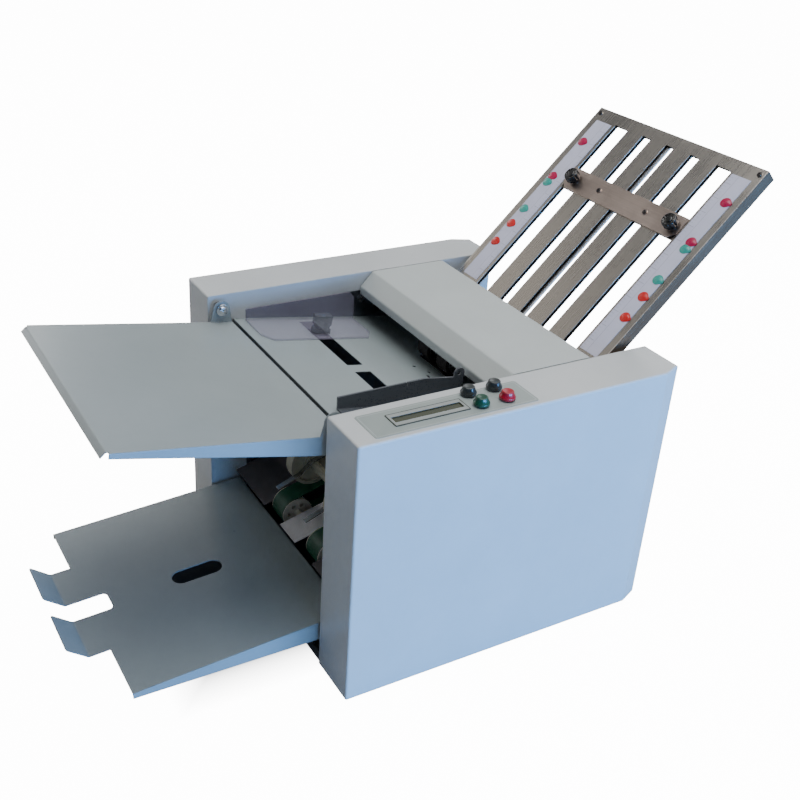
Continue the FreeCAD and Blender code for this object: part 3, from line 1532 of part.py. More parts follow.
def make_power_module():
    """A three-pin appliance inlet and the switch's frame in one moulding, with a shared flange."""
    y1 = panel_face()
    x0, x1, z0, z1 = power_place()
    middle = (z0 + z1) / 2
    flange = box(x0 - 3, x1 + 3, y1, y1 + 1.8, z0 - 3, z1 + 3)
    module = flange.fuse(box(x0, x1, y1 - inlet_depth, y1, z0, z1))
    mouth = rounded_slot(-12, 12, -8, 8, -16, 1, 3.0)
    mouth.rotate(Vector(0, 0, 0), Vector(1, 0, 0), -90)
    mouth.translate(Vector(inlet_x, y1 + 1.8, middle))
    well = box(rocker_x - rocker_width / 2 - 0.3, rocker_x + rocker_width / 2 + 0.3, y1 - 14, y1 + 3,
               middle - rocker_height / 2 - 0.6, middle + rocker_height / 2 + 0.6)
    reach = rocker_width / 2 + rocker_pin_length + 0.2
    pin_y, pin_z = rocker_axis()
    pin_hole = rod_x(pin_y, pin_z, rocker_pin_radius + pin_clearance, rocker_x - reach, rocker_x + reach)
    module = module.cut(mouth).cut(well).cut(pin_hole)
    pins = []
    for dx, dz in ((-7, -1.5), (0, 2.5), (7, -1.5)):
        pins.append(box(inlet_x + dx - 1, inlet_x + dx + 1, y1 - 15, y1 - 1,
                        middle + dz - 2, middle + dz + 2))
    return join([module] + pins)


def rocker_axis():
    z0, z1 = power_place()[2:]
    return panel_face() - rocker_sink, (z0 + z1) / 2


def make_rocker():
    """The rocker: a shallow vee seen from the side, turning on a pin across its middle."""
    y, z = rocker_axis()
    half = rocker_height / 2 - 0.6
    points = [(y - 4, z - half * 0.8), (y - 4, z + half * 0.8), (y + 3.2, z + half), (y + 2.2, z),
              (y + 3.2, z - half)]
    half_width = rocker_width / 2
    pin = rod_x(y, z, rocker_pin_radius, rocker_x - half_width - rocker_pin_length,
                rocker_x + half_width + rocker_pin_length)
    return join([prism_x(points, rocker_x - half_width, rocker_x + half_width), pin])


# Everything, by the name of its node
def build_all():
    gear_radius = roller_pitch / 2
    main_start = 0.0
    nodes = {
        "base_plate": make_base_plate(),
        "rubber_feet": make_feet(),
        "left_frame_plate": make_frame_plate(-1),
        "right_frame_plate": make_frame_plate(1),
        "tie_bars": make_tie_bars(),
        "left_side_cover": mirror_x(make_right_cover()),
        "right_side_cover": make_panel_cover(),
        "control_overlay": make_overlay(),
        "display_bezel": make_display_bezel(),
        "display_window": make_display_window(),
        "circuit_board": make_circuit_board(),
        "feed_tray": make_feed_tray(),
        "tray_pivot_screws": make_tray_pivots(),
        "feed_table": make_feed_table(),
        "left_paper_guide": make_left_guide(),
        "left_guide_clip": make_guide_clip(left_guide_x),
        "right_paper_guide": make_right_guide(),
        "right_guide_clip": make_guide_clip(right_guide_x),
        "hood": make_hood(),
        "hood_hinge_pins": make_hood_pins(),
        "feed_shaft": make_feed_shaft(),
        "feed_tyres": make_feed_tyres(),
        "separator_pad": make_separator(),
        "separator_holder": make_separator_holder(),
        "top_fold_roller": make_driving_roller(top_roller),
        "main_fold_roller": make_main_roller(),
        "rear_fold_roller": make_roller(rear_roller),
        "low_fold_roller": make_driving_roller(low_roller),
        "top_roller_gear": make_gear(top_roller, gear_radius, gear_teeth,
                                     mesh_angle(main_roller, top_roller, main_start)),
        "main_gear_pulley": make_main_gear(),
        "rear_roller_gear": make_gear(rear_roller, gear_radius, gear_teeth,
                                      mesh_angle(main_roller, rear_roller, main_start)),
        "low_roller_gear": make_gear(low_roller, gear_radius, gear_teeth,
                                     mesh_angle(main_roller, low_roller, main_start)),
        "shaft_bushes": make_bearings(),
        "drive_motor": make_motor(),
        "motor_pulley": make_motor_pulley(),
        "drive_belts": make_drive_belts(),
        "fold_plate_front": make_plate_front(),
        "fold_plate_back": make_plate_back(),
        "fold_scale_strips": make_scale_strips(),
        "fold_stop_bar": make_stop_bar(),
        "fold_stop_blade": make_stop_blade(),
        "left_stop_knob": make_upper_knob(knob_places[0]),
        "right_stop_knob": make_upper_knob(knob_places[1]),
        "fold_plate_hooks": make_plate_hooks(),
        "lower_fold_plate": make_lower_plate(),
        "lower_stop": make_lower_stop(),
        "lower_stop_knobs": Part.makeCompound([make_lower_knob(x) for x in knob_places]),
        "delivery_front_shaft": make_delivery_shaft(delivery_front_centre, -(frame_out_x + 3)),
        "delivery_rear_shaft": make_delivery_rear_shaft(),
        "delivery_belts": make_delivery_belts(),
        "delivery_guides": make_delivery_guides(),
        "press_wheels": make_press_wheels(),
        "spring_fingers": make_spring_fingers(),
        "delivery_tray": make_delivery_tray(),
        "power_inlet": make_power_module(),
        "power_rocker": make_rocker(),
    }
    for name, (x, y) in button_places().items():
        nodes[name] = make_button(x, y)
    return nodes


def write_parts(nodes):
    os.makedirs("parts", exist_ok=True)
    for name, shape in nodes.items():
        shape.exportStep(os.path.join("parts", name + ".step"))
        solids = len(shape.Solids)
        print(name, "solids", solids, "volume", round(shape.Volume, 1), "valid", shape.isValid())
    print("nodes", len(nodes))


write_parts(build_all())
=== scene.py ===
import math
import bmesh
import bpy
import numpy as np
from mathutils import Matrix, Vector


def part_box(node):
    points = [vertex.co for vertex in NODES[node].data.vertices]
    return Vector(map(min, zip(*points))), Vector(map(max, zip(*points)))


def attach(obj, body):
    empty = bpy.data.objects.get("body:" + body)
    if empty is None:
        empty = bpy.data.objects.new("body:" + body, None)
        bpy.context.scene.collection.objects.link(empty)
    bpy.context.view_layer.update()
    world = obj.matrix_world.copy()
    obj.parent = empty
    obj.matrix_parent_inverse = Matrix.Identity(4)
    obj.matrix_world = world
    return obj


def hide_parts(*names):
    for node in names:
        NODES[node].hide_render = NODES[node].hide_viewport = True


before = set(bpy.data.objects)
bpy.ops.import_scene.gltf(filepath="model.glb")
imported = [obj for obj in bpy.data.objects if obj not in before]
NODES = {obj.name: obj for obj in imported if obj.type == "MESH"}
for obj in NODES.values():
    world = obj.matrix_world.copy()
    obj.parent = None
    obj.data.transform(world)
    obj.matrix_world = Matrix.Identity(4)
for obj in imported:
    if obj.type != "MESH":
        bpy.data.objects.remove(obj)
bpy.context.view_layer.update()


def box_middle(node):
    """The middle of a CAD node's box."""
    low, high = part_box(node)
    return (low + high) / 2


# Places on the machine, in metres, counted from the covers' front and the base plate's underside
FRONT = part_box("left_side_cover")[0].y
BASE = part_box("base_plate")[0].z
ACROSS = (1, 0, 0)
TABLE_LIP_BACK = FRONT + 0.0373
EAR_INNER = 0.1646
GUIDE_TONGUE = 0.030

# The fold plate: middle of its top edge, way up along it, way out of its face, and what lies on it
PLATE_TILT = math.radians(44.4)
PLATE_TOP = np.array([0.0, FRONT + 0.64123, BASE + 0.57658])
PLATE_UP = np.array([0.0, math.cos(PLATE_TILT), math.sin(PLATE_TILT)])
PLATE_OUT = np.array([0.0, -math.sin(PLATE_TILT), math.cos(PLATE_TILT)])
BEND_START, BEND_END = 0.1703, 0.17165
FIN_LEFT, FIN_RIGHT = -0.0072, -0.0013
STOP_DOWN = 0.123
KNOB_SEAT = 0.0019
STOP_SCREW_SEAT = 0.0031
STOP_SCREWS_X = (-0.049, 0.051)
CORNER_SCREW_SEAT = 0.0012
CORNER_SCREW_X = 0.1635
CORNER_SCREWS_DOWN = (0.0095, 0.352)
SCALE_INNER = 0.1265
SCALE_BORDER = 0.1385
MARKER_X = 0.151
MARKER_SEAT = 0.0005


# Shader helpers
def wire(tree, value, plug):
    """Links a socket to an input, or sets the input where the value is a plain one."""
    if isinstance(value, bpy.types.NodeSocket):
        tree.links.new(value, plug)
    else:
        plug.default_value = value


def put(tree, kind, settings=None, **sockets):
    """Adds a shader node: settings are its properties, sockets its values or links by input."""
    made = tree.nodes.new("ShaderNode" + kind)
    for key, value in (settings or {}).items():
        setattr(made, key, value)
    for key, value in sockets.items():
        wire(tree, value, made.inputs[key.replace("_", " ")])
    return made


def new_material(name):
    """A material with an empty tree; returns it, its tree and the Object coordinates."""
    material = bpy.data.materials.new(name)
    material.use_nodes = True
    tree = material.node_tree
    tree.nodes.clear()
    return material, tree, put(tree, "TexCoord").outputs["Object"]


def close(tree, **sockets):
    """Ends a material's tree in one Principled shader with these values and links."""
    shader = put(tree, "BsdfPrincipled", **sockets)
    put(tree, "OutputMaterial", Surface=shader.outputs[0])


def maths(tree, operation, first, second=0.0, clamp=False):
    """A Math node on two values."""
    made = put(tree, "Math", {"operation": operation, "use_clamp": clamp})
    wire(tree, first, made.inputs[0])
    wire(tree, second, made.inputs[1])
    return made.outputs[0]


def times(tree, first, second):
    return maths(tree, "MULTIPLY", first, second)


def plus(tree, first, second, clamp=False):
    return maths(tree, "ADD", first, second, clamp)


def minus(tree, first, second):
    return maths(tree, "SUBTRACT", first, second)


def unsigned(tree, value):
    return maths(tree, "ABSOLUTE", value)


# The Mix node's colour sockets go by number, because their names repeat for each kind of data
MIX_AMOUNT, MIX_FIRST, MIX_SECOND, MIX_RESULT = 0, 6, 7, 2


def blend_colour(tree, amount, first, second, mode="MIX"):
    """Mixes two colours, from all of the first at 0 to all of the second at 1."""
    made = put(tree, "Mix", {"data_type": "RGBA", "blend_type": mode})
    wire(tree, amount, made.inputs[MIX_AMOUNT])
    wire(tree, first, made.inputs[MIX_FIRST])
    wire(tree, second, made.inputs[MIX_SECOND])
    return made.outputs[MIX_RESULT]


def fit(tree, value, low, high, out_low=0.0, out_high=1.0):
    """Maps a value from one range to another and holds it inside the second."""
    made = put(tree, "MapRange", {"clamp": True}, Value=value, From_Min=low, From_Max=high,
               To_Min=out_low, To_Max=out_high)
    return made.outputs["Result"]


def noise(tree, vector, scale, detail=3.0, rough=0.55, distortion=0.0):
    """A noise texture's value."""
    made = put(tree, "TexNoise", Vector=vector, Scale=scale, Detail=detail, Roughness=rough,
               Distortion=distortion)
    return made.outputs["Fac"]


FLOAT = "NodeSocketFloat"
VECTOR = "NodeSocketVector"


def new_group(name, inputs, outputs):
    """An empty shader group with named sockets; returns the tree, its input and output nodes."""
    tree = bpy.data.node_groups.new(name, "ShaderNodeTree")
    for label, kind, value in inputs:
        socket = tree.interface.new_socket(name=label, in_out="INPUT", socket_type=kind)
        if value is not None:
            socket.default_value = value
    for label, kind in outputs:
        tree.interface.new_socket(name=label, in_out="OUTPUT", socket_type=kind)
    return tree, tree.nodes.new("NodeGroupInput"), tree.nodes.new("NodeGroupOutput")


def use_group(tree, group, **sockets):
    """Places a shader group in a material with its own values."""
    return put(tree, "Group", {"node_tree": group}, **sockets)


# Effects that several finishes share
def powder_group():
    """Powder-coat texture: a small orange-peel height and the soft cloudiness of sprayed paint."""
    tree, enter, leave = new_group("Powder coat",
                                   [("Vector", VECTOR, None), ("Peel Scale", FLOAT, 900.0)],
                                   [("Height", FLOAT), ("Cloud", FLOAT)])
    place = enter.outputs["Vector"]
    peel = noise(tree, place, enter.outputs["Peel Scale"], detail=2.0, rough=0.6)
    cloud = noise(tree, place, 9.0, detail=5.0, rough=0.62)
    wire(tree, peel, leave.inputs["Height"])
    wire(tree, fit(tree, cloud, 0.3, 0.7), leave.inputs["Cloud"])
    return tree


def handling_group():
    """Where hands and paper have been: soft smudges crossed by a few finer wipes."""
    tree, enter, leave = new_group("Handling", [("Vector", VECTOR, None)], [("Mask", FLOAT)])
    place = enter.outputs["Vector"]
    smudge = noise(tree, place, 14.0, detail=6.0, rough=0.7, distortion=0.6)
    drawn_out = put(tree, "Mapping", Vector=place, Scale=(30.0, 160.0, 90.0))
    wipes = noise(tree, drawn_out.outputs["Vector"], 1.0, detail=3.0, rough=0.5)
    both = times(tree, fit(tree, smudge, 0.42, 0.68), fit(tree, wipes, 0.35, 0.7, 0.4, 1.0))
    wire(tree, both, leave.inputs["Mask"])
    return tree


def edge_group():
    """Rounded edges: the normal of a small fillet, and a mask of where that fillet is."""
    tree, enter, leave = new_group("Rounded edges", [("Radius", FLOAT, 0.0008)],
                                   [("Normal", VECTOR), ("Edge", FLOAT)])
    round_off = put(tree, "Bevel", {"samples": 4}, Radius=enter.outputs["Radius"])
    flat = put(tree, "NewGeometry")
    likeness = put(tree, "VectorMath", {"operation": "DOT_PRODUCT"})
    wire(tree, round_off.outputs["Normal"], likeness.inputs[0])
    wire(tree, flat.outputs["True Normal"], likeness.inputs[1])
    wire(tree, round_off.outputs["Normal"], leave.inputs["Normal"])
    wire(tree, fit(tree, likeness.outputs["Value"], 0.999, 0.85), leave.inputs["Edge"])
    return tree


def rolled_group():
    """Rolled sheet metal: long fine lines across one axis and slow bands of tone."""
    tree, enter, leave = new_group("Rolled metal",
                                   [("Vector", VECTOR, None), ("Turn", VECTOR, (0, 0, 0)),
                                    ("Stretch", VECTOR, (4.0, 900.0, 900.0))],
                                   [("Height", FLOAT), ("Tone", FLOAT)])
    place = enter.outputs["Vector"]
    lay = put(tree, "Mapping", Vector=place, Rotation=enter.outputs["Turn"])
    line_up = put(tree, "VectorMath", {"operation": "MULTIPLY"})
    wire(tree, lay.outputs["Vector"], line_up.inputs[0])
    wire(tree, enter.outputs["Stretch"], line_up.inputs[1])
    lines = noise(tree, line_up.outputs["Vector"], 1.0, detail=4.0, rough=0.7)
    slow = noise(tree, place, 11.0, detail=4.0, rough=0.6)
    tone = plus(tree, times(tree, lines, 0.5), times(tree, slow, 0.5))
    wire(tree, lines, leave.inputs["Height"])
    wire(tree, fit(tree, tone, 0.3, 0.7), leave.inputs["Tone"])
    return tree


POWDER = powder_group()
HANDLING = handling_group()
EDGES = edge_group()
ROLLED = rolled_group()


# Colours and masks
def srgb(red, green, blue):
    """A colour given as 0 to 255 display values, turned to linear light."""
    linear = []
    for value in (red, green, blue):
        share = value / 255.0
        linear.append(share / 12.92 if share <= 0.04045 else ((share + 0.055) / 1.055) ** 2.4)
    return (*linear, 1.0)


def shaded(colour, factor):
    """The colour with its brightness multiplied by a factor."""
    return (colour[0] * factor, colour[1] * factor, colour[2] * factor, 1.0)


def part_of(axis, low, high):
    """A mask of what lies between two places along an object axis, mirrored where the axis is
    lower case."""
    def mask(tree, place):
        value = put(tree, "SeparateXYZ", Vector=place).outputs[axis.upper()]
        if axis.islower():
            value = unsigned(tree, value)
        return times(tree, maths(tree, "GREATER_THAN", value, low),
                     maths(tree, "LESS_THAN", value, high))
    return mask


def tinted(tree, place, tone, tints):
    """Multiplies a tone by each mask's colour where that mask says so; most of these colours are
    painted shade and painted highlights.
    """
    for mask, colour in tints:
        tone = blend_colour(tree, mask(tree, place), tone, colour, "MULTIPLY")
    return tone


def bumped(tree, strength, distance, height, edges):
    """A surface's normal: a fine height over the rounded edges."""
    made = put(tree, "Bump", Strength=strength, Distance=distance, Height=height,
               Normal=edges.outputs["Normal"])
    return made.outputs["Normal"]


# Finishes
def painted(name, colour, rough=0.38, peel=1100.0, peel_height=0.05, radius=0.0008, coat=0.15,
            tones_and_painted_light=()):
    """Powder-coated sheet: orange peel, cloudiness, smudges, and edges a little paler, partly
    rubbed wear and partly a painted highlight along bends.
    """
    material, tree, place = new_material(name)
    skin = use_group(tree, POWDER, Vector=place, Peel_Scale=peel)
    marks = use_group(tree, HANDLING, Vector=place).outputs["Mask"]
    edges = use_group(tree, EDGES, Radius=radius)
    tone = blend_colour(tree, skin.outputs["Cloud"], shaded(colour, 0.955), shaded(colour, 1.02))
    tone = blend_colour(tree, times(tree, marks, 0.10), tone, shaded(colour, 0.75))
    tone = tinted(tree, place, tone, tones_and_painted_light)
    # Edges lightened: partly rubbed wear, partly a painted highlight on bends and lips
    tone = blend_colour(tree, times(tree, edges.outputs["Edge"], 0.22), tone, shaded(colour, 1.3))
    gloss = fit(tree, skin.outputs["Cloud"], 0.0, 1.0, rough - 0.03, rough + 0.05)
    gloss = plus(tree, gloss, times(tree, marks, 0.10), clamp=True)
    close(tree, Base_Color=tone, Roughness=gloss, Coat_Weight=coat, Coat_Roughness=0.2,
          Normal=bumped(tree, peel_height, 0.0004, skin.outputs["Height"], edges))
    return material


def sheet_metal(name, colour, rough=0.3, turn=(0, 0, 0), stretch=(4.0, 900.0, 900.0),
                line_height=0.06, radius=0.0004, vary=0.14, worn=0.15, tones_and_painted_light=()):
    """Bare or plated metal: rolled lines in height, tone and gloss, with bright rubbed edges."""
    material, tree, place = new_material(name)
    grain = use_group(tree, ROLLED, Vector=place, Turn=turn, Stretch=stretch)
    marks = use_group(tree, HANDLING, Vector=place).outputs["Mask"]
    edges = use_group(tree, EDGES, Radius=radius)
    tone = blend_colour(tree, grain.outputs["Tone"], shaded(colour, 1.0 - vary),
                        shaded(colour, 1.0 + vary * 0.6))
    tone = tinted(tree, place, tone, tones_and_painted_light)
    tone = blend_colour(tree, times(tree, edges.outputs["Edge"], 0.3), tone, shaded(colour, 1.5))
    gloss = fit(tree, grain.outputs["Tone"], 0.0, 1.0, rough - 0.05, rough + 0.08)
    gloss = plus(tree, gloss, times(tree, marks, worn), clamp=True)
    close(tree, Base_Color=tone, Roughness=gloss, Metallic=1.0,
          Normal=bumped(tree, line_height, 0.0002, grain.outputs["Height"], edges))
    return material


def moulded(name, colour, rough=0.4, grain=700.0, grain_height=0.08, radius=0.0006, coat=0.0,
            edge_tone=1.25):
    """Moulded plastic: a spark-eroded grain, faint flow clouds and softened edges."""
    material, tree, place = new_material(name)
    skin = use_group(tree, POWDER, Vector=place, Peel_Scale=grain)
    marks = use_group(tree, HANDLING, Vector=place).outputs["Mask"]
    edges = use_group(tree, EDGES, Radius=radius)
    tone = blend_colour(tree, skin.outputs["Cloud"], shaded(colour, 0.93), shaded(colour, 1.05))
    tone = blend_colour(tree, times(tree, edges.outputs["Edge"], 0.3), tone,
                        shaded(colour, edge_tone))
    gloss = fit(tree, skin.outputs["Height"], 0.3, 0.7, rough - 0.04, rough + 0.06)
    gloss = plus(tree, gloss, times(tree, marks, 0.12), clamp=True)
    close(tree, Base_Color=tone, Roughness=gloss, Coat_Weight=coat, Coat_Roughness=0.08,
          Normal=bumped(tree, grain_height, 0.0003, skin.outputs["Height"], edges))
    return material


def rubbery(name, colour, rough=0.75, ribs=0.0, height=0.3):
    """Rubber: a fine ground texture, dusty bloom and, where ribs isn't 0, ribs as sin(ribs x)."""
    material, tree, place = new_material(name)
    fine = noise(tree, place, 1500.0, detail=3.0, rough=0.7)
    bloom = noise(tree, place, 40.0, detail=5.0, rough=0.65)
    tall = fine
    if ribs:
        sideways = put(tree, "SeparateXYZ", Vector=place).outputs["X"]
        wave = maths(tree, "SINE", times(tree, sideways, ribs))
        tall = plus(tree, times(tree, fine, 0.35), times(tree, wave, 0.5))
    edges = use_group(tree, EDGES, Radius=0.0006)
    tone = blend_colour(tree, fit(tree, bloom, 0.35, 0.75), shaded(colour, 0.85),
                        shaded(colour, 1.35))
    tone = blend_colour(tree, times(tree, edges.outputs["Edge"], 0.35), tone, shaded(colour, 1.9))
    close(tree, Base_Color=tone, Roughness=fit(tree, bloom, 0.3, 0.7, rough - 0.08, rough + 0.1),
          Normal=bumped(tree, height, 0.0004, tall, edges))
    return material


def clear_acrylic(name, colour, rough=0.05, cover=0.2):
    """Thin see-through acrylic: a faint haze over what lies behind it, fine scuffs, and denser
    sawn edges."""
    material, tree, place = new_material(name)
    scuffs = use_group(tree, HANDLING, Vector=place).outputs["Mask"]
    edges = use_group(tree, EDGES, Radius=0.0012)
    tone = blend_colour(tree, edges.outputs["Edge"], colour, shaded(colour, 0.35))
    gloss = plus(tree, times(tree, scuffs, 0.2), rough, clamp=True)
    haze = plus(tree, times(tree, scuffs, 0.03), cover)
    haze = plus(tree, times(tree, edges.outputs["Edge"], 0.7), haze, clamp=True)
    fine = noise(tree, place, 260.0, detail=2.0, rough=0.5)
    close(tree, Base_Color=tone, Roughness=gloss, Alpha=haze,
          Normal=bumped(tree, 0.02, 0.0004, fine, edges))
    return material


# Where part of a piece is made darker or lighter: a mask and the colour that multiplies it. The
# delivery guides are darker at their sides; the rest are painted shade and painted highlights.
# Painted shade: the feed table's front lip, seen through the gap below the feed tray, darkened as
# if in shadow
TABLE_LIP_PAINTED_SHADE = (part_of("Y", -1.0, TABLE_LIP_BACK), (0.13, 0.14, 0.15, 1))
GUIDE_SIDES = (part_of("x", GUIDE_TONGUE, 1.0), (0.16, 0.145, 0.15, 1))
# Painted shade on the fold plate's side flanges: both darkened to stand in for the dark
# surroundings they mirror, the right one also warmed against the blue window light it reflects
RIGHT_FLANGE_PAINTED_SHADE = (part_of("X", BEND_END, 1.0), (0.40, 0.32, 0.26, 1))
LEFT_FLANGE_PAINTED_SHADE = (part_of("X", -1.0, -BEND_END), (0.5, 0.52, 0.56, 1))
# Painted highlight: a bright line along the fold plate's side bends, where they catch the light
BEND_PAINTED_HIGHLIGHT = (part_of("x", BEND_START, BEND_END), (1.8, 1.85, 1.95, 1))
# Painted light: the rear sheet's fin, which lies in shadow under the middle slot, brightened and
# turned bluish
FIN_PAINTED_LIGHT = (part_of("X", FIN_LEFT, FIN_RIGHT), (1.7, 1.95, 2.4, 1))

PLATE_STEEL = {"rough": 0.26, "turn": (-PLATE_TILT, 0, 0), "stretch": (500.0, 6.0, 500.0),
               "line_height": 0.012, "vary": 0.08, "worn": 0.03}
BUTTON_PLASTIC = {"rough": 0.3, "grain": 500.0, "grain_height": 0.02, "coat": 0.3}
MARKER_PLASTIC = {"rough": 0.25, "grain": 500.0, "grain_height": 0.02, "radius": 0.0004,
                  "coat": 0.4}

MATERIALS = {
    "cover": painted("cover powder coat", srgb(200, 204, 206), rough=0.36, peel=1000.0,
                     peel_height=0.06, radius=0.0025),
    "tray": painted("tray grey paint", srgb(149, 159, 162), rough=0.3, peel=1200.0,
                    peel_height=0.04, radius=0.0022, coat=0.3),
    # The table's front lip gets a painted shade
    "table": painted("table grey paint", srgb(150, 161, 164), rough=0.3, peel=1200.0,
                     peel_height=0.04, coat=0.3, tones_and_painted_light=[TABLE_LIP_PAINTED_SHADE]),
    "hood": painted("hood grey paint", srgb(190, 197, 197), rough=0.34, radius=0.0015),
    "guides": painted("delivery guide paint", srgb(232, 228, 228), rough=0.4, radius=0.0006,
                      coat=0.1, tones_and_painted_light=[GUIDE_SIDES]),
    # The fold plate's flanges carry painted shade and its side bends a painted highlight
    "plate": sheet_metal("fold plate steel", srgb(192, 186, 178), **PLATE_STEEL,
                         tones_and_painted_light=[RIGHT_FLANGE_PAINTED_SHADE, LEFT_FLANGE_PAINTED_SHADE, BEND_PAINTED_HIGHLIGHT]),
    # A material of its own for the rear sheet, so its fin can carry painted light
    "plate_back": sheet_metal("fold plate rear steel", srgb(192, 186, 178), **PLATE_STEEL,
                              tones_and_painted_light=[FIN_PAINTED_LIGHT]),
    "stop": sheet_metal("stop bar steel", srgb(198, 182, 172), turn=(-PLATE_TILT, 0, 0),
                        stretch=(6.0, 500.0, 500.0)),
    "plated": sheet_metal("zinc plated sheet", srgb(128, 134, 142), stretch=(300.0, 300.0, 9.0),
                          line_height=0.02, vary=0.07, worn=0.06),
    "ground": sheet_metal("ground shaft steel", srgb(176, 176, 178), rough=0.22,
                          stretch=(900.0, 60.0, 60.0)),
    "bright": sheet_metal("bright screw steel", srgb(206, 208, 212), rough=0.14,
                          stretch=(90.0, 90.0, 90.0)),
    "screw": sheet_metal("blackened screw steel", srgb(70, 68, 68), rough=0.35,
                         stretch=(300.0, 300.0, 300.0)),
    "spring": sheet_metal("spring steel", srgb(190, 190, 186), rough=0.16,
                          stretch=(500.0, 12.0, 12.0)),
    "black_rubber": rubbery("black rubber", srgb(34, 34, 36), rough=0.8),
    "roller_rubber": rubbery("roller rubber", srgb(34, 33, 34), rough=0.62, ribs=2600.0,
                             height=0.25),
    "tyre_rubber": rubbery("tyre rubber", srgb(44, 40, 40), rough=0.78, ribs=1900.0, height=0.6),
    "belt": rubbery("green belt", srgb(18, 84, 56), rough=0.5, ribs=3200.0, height=0.2),
    "cream": moulded("cream hub plastic", srgb(214, 208, 190), rough=0.42),
    "wheel": moulded("press wheel plastic", srgb(186, 182, 160), rough=0.5),
    "natural": moulded("natural gear plastic", srgb(224, 220, 206), rough=0.45),
    "black": moulded("black plastic", srgb(26, 26, 28), rough=0.38, grain=900.0,
                     grain_height=0.1, coat=0.1, edge_tone=1.8),
    "gloss_black": moulded("glossy black knob", srgb(14, 14, 15), rough=0.22, grain=500.0,
                           grain_height=0.02, coat=0.5, edge_tone=1.8),
    "slate": moulded("slate guide plastic", srgb(86, 91, 98), rough=0.28, grain=500.0,
                     grain_height=0.01, radius=0.0008, coat=0.3, edge_tone=1.5),
    "frosted": clear_acrylic("clip acrylic", srgb(104, 107, 118), rough=0.2, cover=0.42),
    "acrylic": clear_acrylic("smoked acrylic", srgb(176, 172, 196)),
    "resin": moulded("board resin", srgb(30, 96, 56), rough=0.45),
    "motor": painted("motor enamel", srgb(52, 54, 58), rough=0.4),
    "button_dark": moulded("dark button", srgb(46, 52, 52), **BUTTON_PLASTIC),
    "button_green": moulded("green button", srgb(10, 70, 50), **BUTTON_PLASTIC),
    "button_red": moulded("red button", srgb(168, 8, 38), **BUTTON_PLASTIC),
    "dot_magenta": moulded("magenta marker", srgb(176, 14, 74), **MARKER_PLASTIC),
    "dot_teal": moulded("teal marker", srgb(52, 158, 146), **MARKER_PLASTIC),
    "dot_red": moulded("red marker", srgb(206, 36, 34), **MARKER_PLASTIC),
}


# Printed films and the display
def scale_film():
    """White printed film: fine graduation lines every 5 mm along the plate, longer every 25 mm,
    and a border line along the strip."""
    material, tree, place = new_material("printed scale film")
    split = put(tree, "SeparateXYZ", Vector=place)
    along = plus(tree, times(tree, split.outputs["Y"], float(PLATE_UP[1])),
                 times(tree, split.outputs["Z"], float(PLATE_UP[2])))
    sideways = unsigned(tree, split.outputs["X"])

    def lines(pitch, width, reach):
        """Lines this wide at each pitch, as long as reach from the strip's inner edge."""
        phase = maths(tree, "FRACT", maths(tree, "DIVIDE", along, pitch))
        thin = maths(tree, "LESS_THAN", phase, width / pitch)
        return times(tree, thin, maths(tree, "LESS_THAN", sideways, SCALE_INNER + reach))

    short_lines = lines(pitch=0.005, width=0.00035, reach=0.005)
    long_lines = lines(pitch=0.025, width=0.0006, reach=0.010)
    border = maths(tree, "LESS_THAN", unsigned(tree, minus(tree, sideways, SCALE_BORDER)), 0.0002)
    ink = maths(tree, "MAXIMUM", maths(tree, "MAXIMUM", short_lines, long_lines), border)
    cloud = noise(tree, place, 60.0, detail=3.0, rough=0.6)
    paper = blend_colour(tree, cloud, srgb(198, 200, 222), srgb(212, 213, 232))
    tone = blend_colour(tree, times(tree, ink, 0.55), paper, srgb(96, 98, 116))
    close(tree, Base_Color=tone, Roughness=fit(tree, cloud, 0.3, 0.7, 0.28, 0.4))
    return material


def past_edge(tree, place, low, high):
    """How far a point lies past the nearest side of a box seen from above, negative inside it."""
    split = put(tree, "SeparateXYZ", Vector=place)
    middle, half = (low + high) / 2, (high - low) / 2
    across = unsigned(tree, minus(tree, split.outputs["X"], middle.x))
    along = unsigned(tree, minus(tree, split.outputs["Y"], middle.y))
    return maths(tree, "MAXIMUM", minus(tree, across, half.x), minus(tree, along, half.y))


def panel_film():
    """The control panel's film: grey, with a paler outline a few millimetres in from its edge."""
    outline_inset, outline_half = 0.003, 0.0004
    material, tree, place = new_material("control panel film")
    low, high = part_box("control_overlay")
    past = past_edge(tree, place, low, high)
    outline = maths(tree, "LESS_THAN", unsigned(tree, plus(tree, past, outline_inset)),
                    outline_half)
    cloud = noise(tree, place, 45.0, detail=4.0, rough=0.6)
    fine = noise(tree, place, 1600.0, detail=2.0, rough=0.6)
    tone = blend_colour(tree, cloud, srgb(146, 156, 154), srgb(155, 165, 163))
    tone = blend_colour(tree, times(tree, outline, 0.35), tone, srgb(216, 220, 224))
    bump = put(tree, "Bump", Strength=0.05, Distance=0.0003, Height=fine)
    close(tree, Base_Color=tone, Roughness=fit(tree, cloud, 0.3, 0.7, 0.3, 0.42),
          Normal=bump.outputs["Normal"])
    return material


def display_frame():
    """The display's frame: light grey, with a dark line round its outside."""
    rim_width = 0.0012
    material, tree, place = new_material("display frame")
    low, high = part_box("display_bezel")
    rim = maths(tree, "GREATER_THAN", past_edge(tree, place, low, high), -rim_width)
    cloud = noise(tree, place, 45.0, detail=4.0, rough=0.6)
    tone = blend_colour(tree, cloud, srgb(148, 154, 152), srgb(157, 163, 161))
    tone = blend_colour(tree, rim, tone, srgb(58, 62, 58))
    close(tree, Base_Color=tone, Roughness=fit(tree, cloud, 0.3, 0.7, 0.3, 0.4))
    return material


